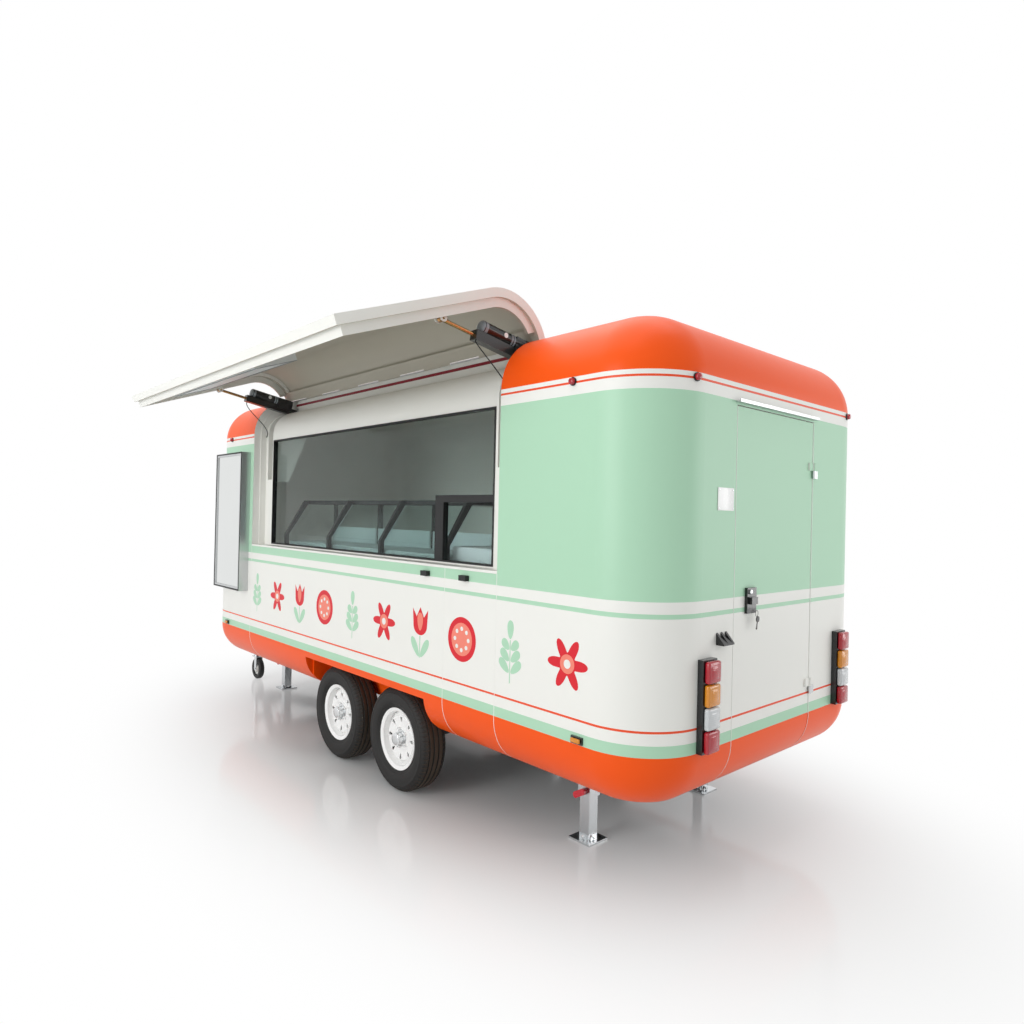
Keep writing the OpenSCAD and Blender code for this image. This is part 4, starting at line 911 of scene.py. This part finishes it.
class TRAILER_OT_door(Operator):
    """Adds the lock, keys and blank plate of the rear"""
    bl_idname = "trailer.door"
    bl_label = "Door furniture"
    BARREL = mm((11, 0), (11, 8), (9, 10), (4, 10.5), (0, 10.5))
    BLADE = mm((-3, -24), (3, -24), (3, -40), (1.5, -43), (3, -47), (1.2, -51), (3, -55), (0, -60),
               (-3, -56))
    RIVET = mm((4, 3.4), (3.8, 4.6), (2.2, 5.4), (0, 5.6))
    # Lock from the handle's outside and middle, and key ring from the handle's lowest corner
    LOCK, RING = Vector((0.0165, 0.018, 0.040)), Vector((0.006, 0.012, 0.012))
    # Blank plate: middle across and up, half width and height, and its rivets from the middle
    PLATE_Y, PLATE_Z, HALF_Y, HALF_Z = 0.5075, 1.736, 0.065, 0.05
    RIVET_Y, RIVET_Z = 0.055, 0.040

    def execute(self, context):
        low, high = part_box("door_handle")
        middle = (low + high) / 2
        lock = Shape()
        spot = Vector((low.x, middle.y, middle.z)) + self.LOCK
        lock.lathe(self.BARREL, circle(24), turned(spot, pi / 2))
        lock.done("door_lock_barrel", "polished_chrome", "door", "zinc")
        keys = Shape()
        top = low + self.RING
        ring = [top + Vector((0, 0.011 * cos(a), 0.014 * sin(a) - 0.014)) for a in circle(20)]
        keys.tube(ring + ring[:1], 1.1 * MM, 8)
        bow = [(0.012 * cos(a), -0.012 + 0.014 * sin(a)) for a in circle(20)]
        for lean, drop in ((0.10, 0.0), (0.32, 0.004)):
            place = turned(top + Vector((-0.002 - drop, -0.002, -0.028)), lean, "X")
            place = place @ Matrix.Rotation(pi / 2, 4, "Z")
            keys.prism(bow, 2.2 * MM, place)
            keys.prism(self.BLADE, 2.0 * MM, place)
        keys.done("door_keys", "black_abs", "door", "black_plastic")
        plate = Shape()
        plate.block(cabin(-3.5 * MM, self.PLATE_Y - self.HALF_Y, self.PLATE_Z - self.HALF_Z),
                    cabin(-0.4 * MM, self.PLATE_Y + self.HALF_Y, self.PLATE_Z + self.HALF_Z), 1.2 * MM)
        plate.done("blank_plate", "white_rim_enamel", ROOT, "rim_white")
        rivets = Shape()
        for y in (self.PLATE_Y - self.RIVET_Y, self.PLATE_Y + self.RIVET_Y):
            for z in (self.PLATE_Z - self.RIVET_Z, self.PLATE_Z + self.RIVET_Z):
                rivets.lathe(self.RIVET, circle(14), turned(cabin(0, y, z), pi / 2))
        rivets.done("plate_rivets", "polished_chrome", ROOT, "zinc")
        return {"FINISHED"}


class TRAILER_OT_trim(Operator):
    """Adds the small trim of motors, menu, display case, light box, hinge, jockey wheel and feet"""
    bl_idname = "trailer.trim"
    bl_label = "Trim"
    BORDER = 12 * MM
    # Hinge tape: distance in from the window surround's ends, distances out from its back, heights
    TAPE_END, TAPE_OUT, TAPE_Z = 0.09, (0.0014, 0.0024), (2.500, 2.518)
    # Display case: bays, bar between them, pane, steel floor, and heights and thickness of its back
    BAYS, BAR, PANE, TROUGH, BACK_Z, BACK = 3, 0.029, 0.0065, 0.070, (0.066, 0.190), 0.012
    # Steel box beside it: distances from the counter's end and from the case, height
    BOX_END, BOX_GAP, BOX_H = 0.035, 0.02, 0.16
    # Light box with the hatch shut: lower and upper edge above the ground, its face from the middle
    LIGHT_Z, LIGHT_Y = (1.550, 1.810), 0.920
    # Profiles in mm of radius and offset along the axis
    JOCKEY_HUB = mm((61, 10), (59, 11.8), (38, 11.8), (34, 24.2), (30, 25), (12, 25))
    MOTOR_CAP = mm((33.8, 418), (34.5, 420), (34.5, 433), (32.5, 443), (27.5, 449.5), (18, 453),
                   (0, 454))
    MOTOR_BAND = mm((33.8, 0), (35.2, 1), (35.2, 10), (33.8, 11))
    LABEL = mm((13, 30), (13, 34.6), (0, 34.8))
    BOLT = mm((7, 32), (7, 43.5), (5, 45), (0, 45.2))
    # Motor above its actuator, and its bands and label along it
    MOTOR_UP, BANDS_Y, LABEL_Y, LABEL_UP = 0.055, (0.236, 0.252), 0.305, 0.004
    # Foot lug: outline, thickness, distance from the leg's middle, and its bolt's height
    LUG = mm((-24, 9.5), (24, 9.5), (18, 24), (10, 30), (-10, 30), (-18, 24))
    LUG_THICK, LUG_OUT, BOLT_Z = 0.006, 0.0325, 0.020

    def execute(self, context):
        for end in ENDS:
            self.motor(end)
        low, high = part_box("menu_frame")
        border = Shape()
        for x0, x1, z0, z1 in border_bars(low.x, high.x, low.z, high.z, self.BORDER):
            border.block((x0, high.y - 0.5 * MM, z0), (x1, high.y + 2.5 * MM, z1), 0.8 * MM)
        border.done("menu_border", "black_anodised_bar", ROOT, "black_aluminium")
        self.case_liners()
        self.light_box()
        low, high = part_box("window_surround")
        tape = Shape()
        tape.block((low.x + self.TAPE_END, low.y + self.TAPE_OUT[0], GROUND + self.TAPE_Z[0]),
                   (high.x - self.TAPE_END, low.y + self.TAPE_OUT[1], GROUND + self.TAPE_Z[1]))
        tape.done("hinge_tape", "dark_red_tape", ROOT, "red_enamel")
        low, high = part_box("jockey_wheel")
        hub = Shape()
        for turn in (0, pi):
            hub.lathe(self.JOCKEY_HUB, circle(40), turned((low + high) / 2, turn))
        hub.done("jockey_hub", "pale_nylon", "jockey_wheel", "clear_lens")
        for leg, _ in WHEELS:
            self.foot(leg)
        return {"FINISHED"}

    def case_liners(self):
        """Steel troughs inside the display case and the steel box on the counter beside it."""
        low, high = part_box("display_glass")
        liner = Shape()
        step = (high.x - low.x + self.BAR) / self.BAYS
        back, front, deck = low.y + self.PANE, high.y - self.PANE - 2 * MM, low.z + self.PANE
        for bay in range(self.BAYS):
            x0, x1 = low.x + bay * step + 1 * MM, low.x + (bay + 1) * step - self.BAR - 1 * MM
            liner.block((x0, back, deck), (x1, front, deck + self.TROUGH), 4 * MM)
            liner.block((x0, back, deck + self.BACK_Z[0]),
                        (x1, back + self.BACK, deck + self.BACK_Z[1]), 4 * MM)
        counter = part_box("counter")
        top, case = counter[1].z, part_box("display_frame")[0].x
        liner.block((counter[0].x + self.BOX_END, low.y, top),
                    (case - self.BOX_GAP, high.y, top + self.BOX_H), 8 * MM, 3)
        liner.done("case_liners", "pale_steel_liner", ROOT, "counter_top")

    def light_box(self):
        """Border round the hatch's light box, laid out with the hatch shut and then opened."""
        joint = joint_of("hatch_lift")
        pivot = Matrix.Translation(joint["pos_m"])
        opened = turned(joint["pos_m"], -radians(joint["range_deg"][0]), "X") @ pivot.inverted()
        low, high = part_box("hatch_lamp")
        border = Shape()
        for x0, x1, z0, z1 in border_bars(low.x, high.x, *self.LIGHT_Z, self.BORDER):
            border.block((x0, self.LIGHT_Y - 3 * MM, GROUND + z0),
                         (x1, self.LIGHT_Y + 0.5 * MM, GROUND + z1), 1 * MM)
        border.verts = [opened @ v for v in border.verts]
        border.done("light_box_border", "grey_motor_shell", "hatch", "zinc")

    def motor(self, end):
        """Bands, rounded cap and label of one actuator's motor."""
        motor = actuator_place(end) @ Matrix.Translation((0, 0, self.MOTOR_UP))
        grey = Shape()
        grey.lathe(self.MOTOR_CAP, circle(40), motor)
        for along in self.BANDS_Y:
            grey.lathe([(r, along + y) for r, y in self.MOTOR_BAND], circle(40), motor)
        grey.done("motor_bands_and_cap_" + end, "grey_motor_shell", "housing_" + end, "zinc")
        label = Shape()
        for turn in (pi / 2, -pi / 2):
            label.lathe(self.LABEL, circle(24), motor @ turned((0, self.LABEL_Y, self.LABEL_UP), turn))
        label.done("motor_label_" + end, "white_rim_enamel", "housing_" + end, "rim_white")

    def foot(self, leg):
        """Lugs and bolts that hold one leg's tube to its foot plate."""
        low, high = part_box("leg_" + leg)
        middle = (low + high) / 2
        lugs = Shape()
        for turn in circle(4):
            place = turned((middle.x, middle.y, low.z), turn)
            lugs.prism(self.LUG, self.LUG_THICK, place @ Matrix.Translation((0, self.LUG_OUT, 0)))
            lugs.lathe(self.BOLT, circle(6), place @ Matrix.Translation((0, 0, self.BOLT_Z)))
        lugs.done("foot_lugs_" + leg, "polished_chrome", "leg_" + leg, "zinc")


class TRAILER_PT_panel(Panel):
    """Lists the trailer's pieces and their sizes"""
    bl_label = "Trailer"
    bl_space_type = "VIEW_3D"
    bl_region_type = "UI"
    bl_category = "Trailer"

    def draw(self, context):
        layout = self.layout
        for group in GROUPS:
            box = layout.box()
            values = getattr(context.scene, group)
            for key in values.__annotations__:
                box.prop(values, key)
        for operator in OPERATORS:
            layout.operator(operator.bl_idname)


GROUPS = {"trailer_paint": TrailerPaint, "trailer_tyres": TrailerTyres, "trailer_frieze": TrailerFrieze}
OPERATORS = (TRAILER_OT_stage, TRAILER_OT_finishes, TRAILER_OT_leads, TRAILER_OT_tyres, TRAILER_OT_hubs,
             TRAILER_OT_seams, TRAILER_OT_frieze, TRAILER_OT_lamps, TRAILER_OT_door, TRAILER_OT_trim)
CLASSES = (*GROUPS.values(), *OPERATORS, TRAILER_PT_panel)


def register():
    for cls in CLASSES:
        bpy.utils.register_class(cls)
    for name, cls in GROUPS.items():
        setattr(bpy.types.Scene, name, PointerProperty(type=cls))


def unregister():
    for name in GROUPS:
        delattr(bpy.types.Scene, name)
    for cls in reversed(CLASSES):
        bpy.utils.unregister_class(cls)


def main():
    register()
    bpy.ops.trailer.stage()
    bpy.ops.trailer.finishes()
    bpy.ops.trailer.leads()
    bpy.ops.trailer.tyres()
    bpy.ops.trailer.hubs()
    bpy.ops.trailer.seams()
    bpy.ops.trailer.frieze()
    bpy.ops.trailer.lamps()
    bpy.ops.trailer.door()
    bpy.ops.trailer.trim()


if __name__ == "__main__":
    main()
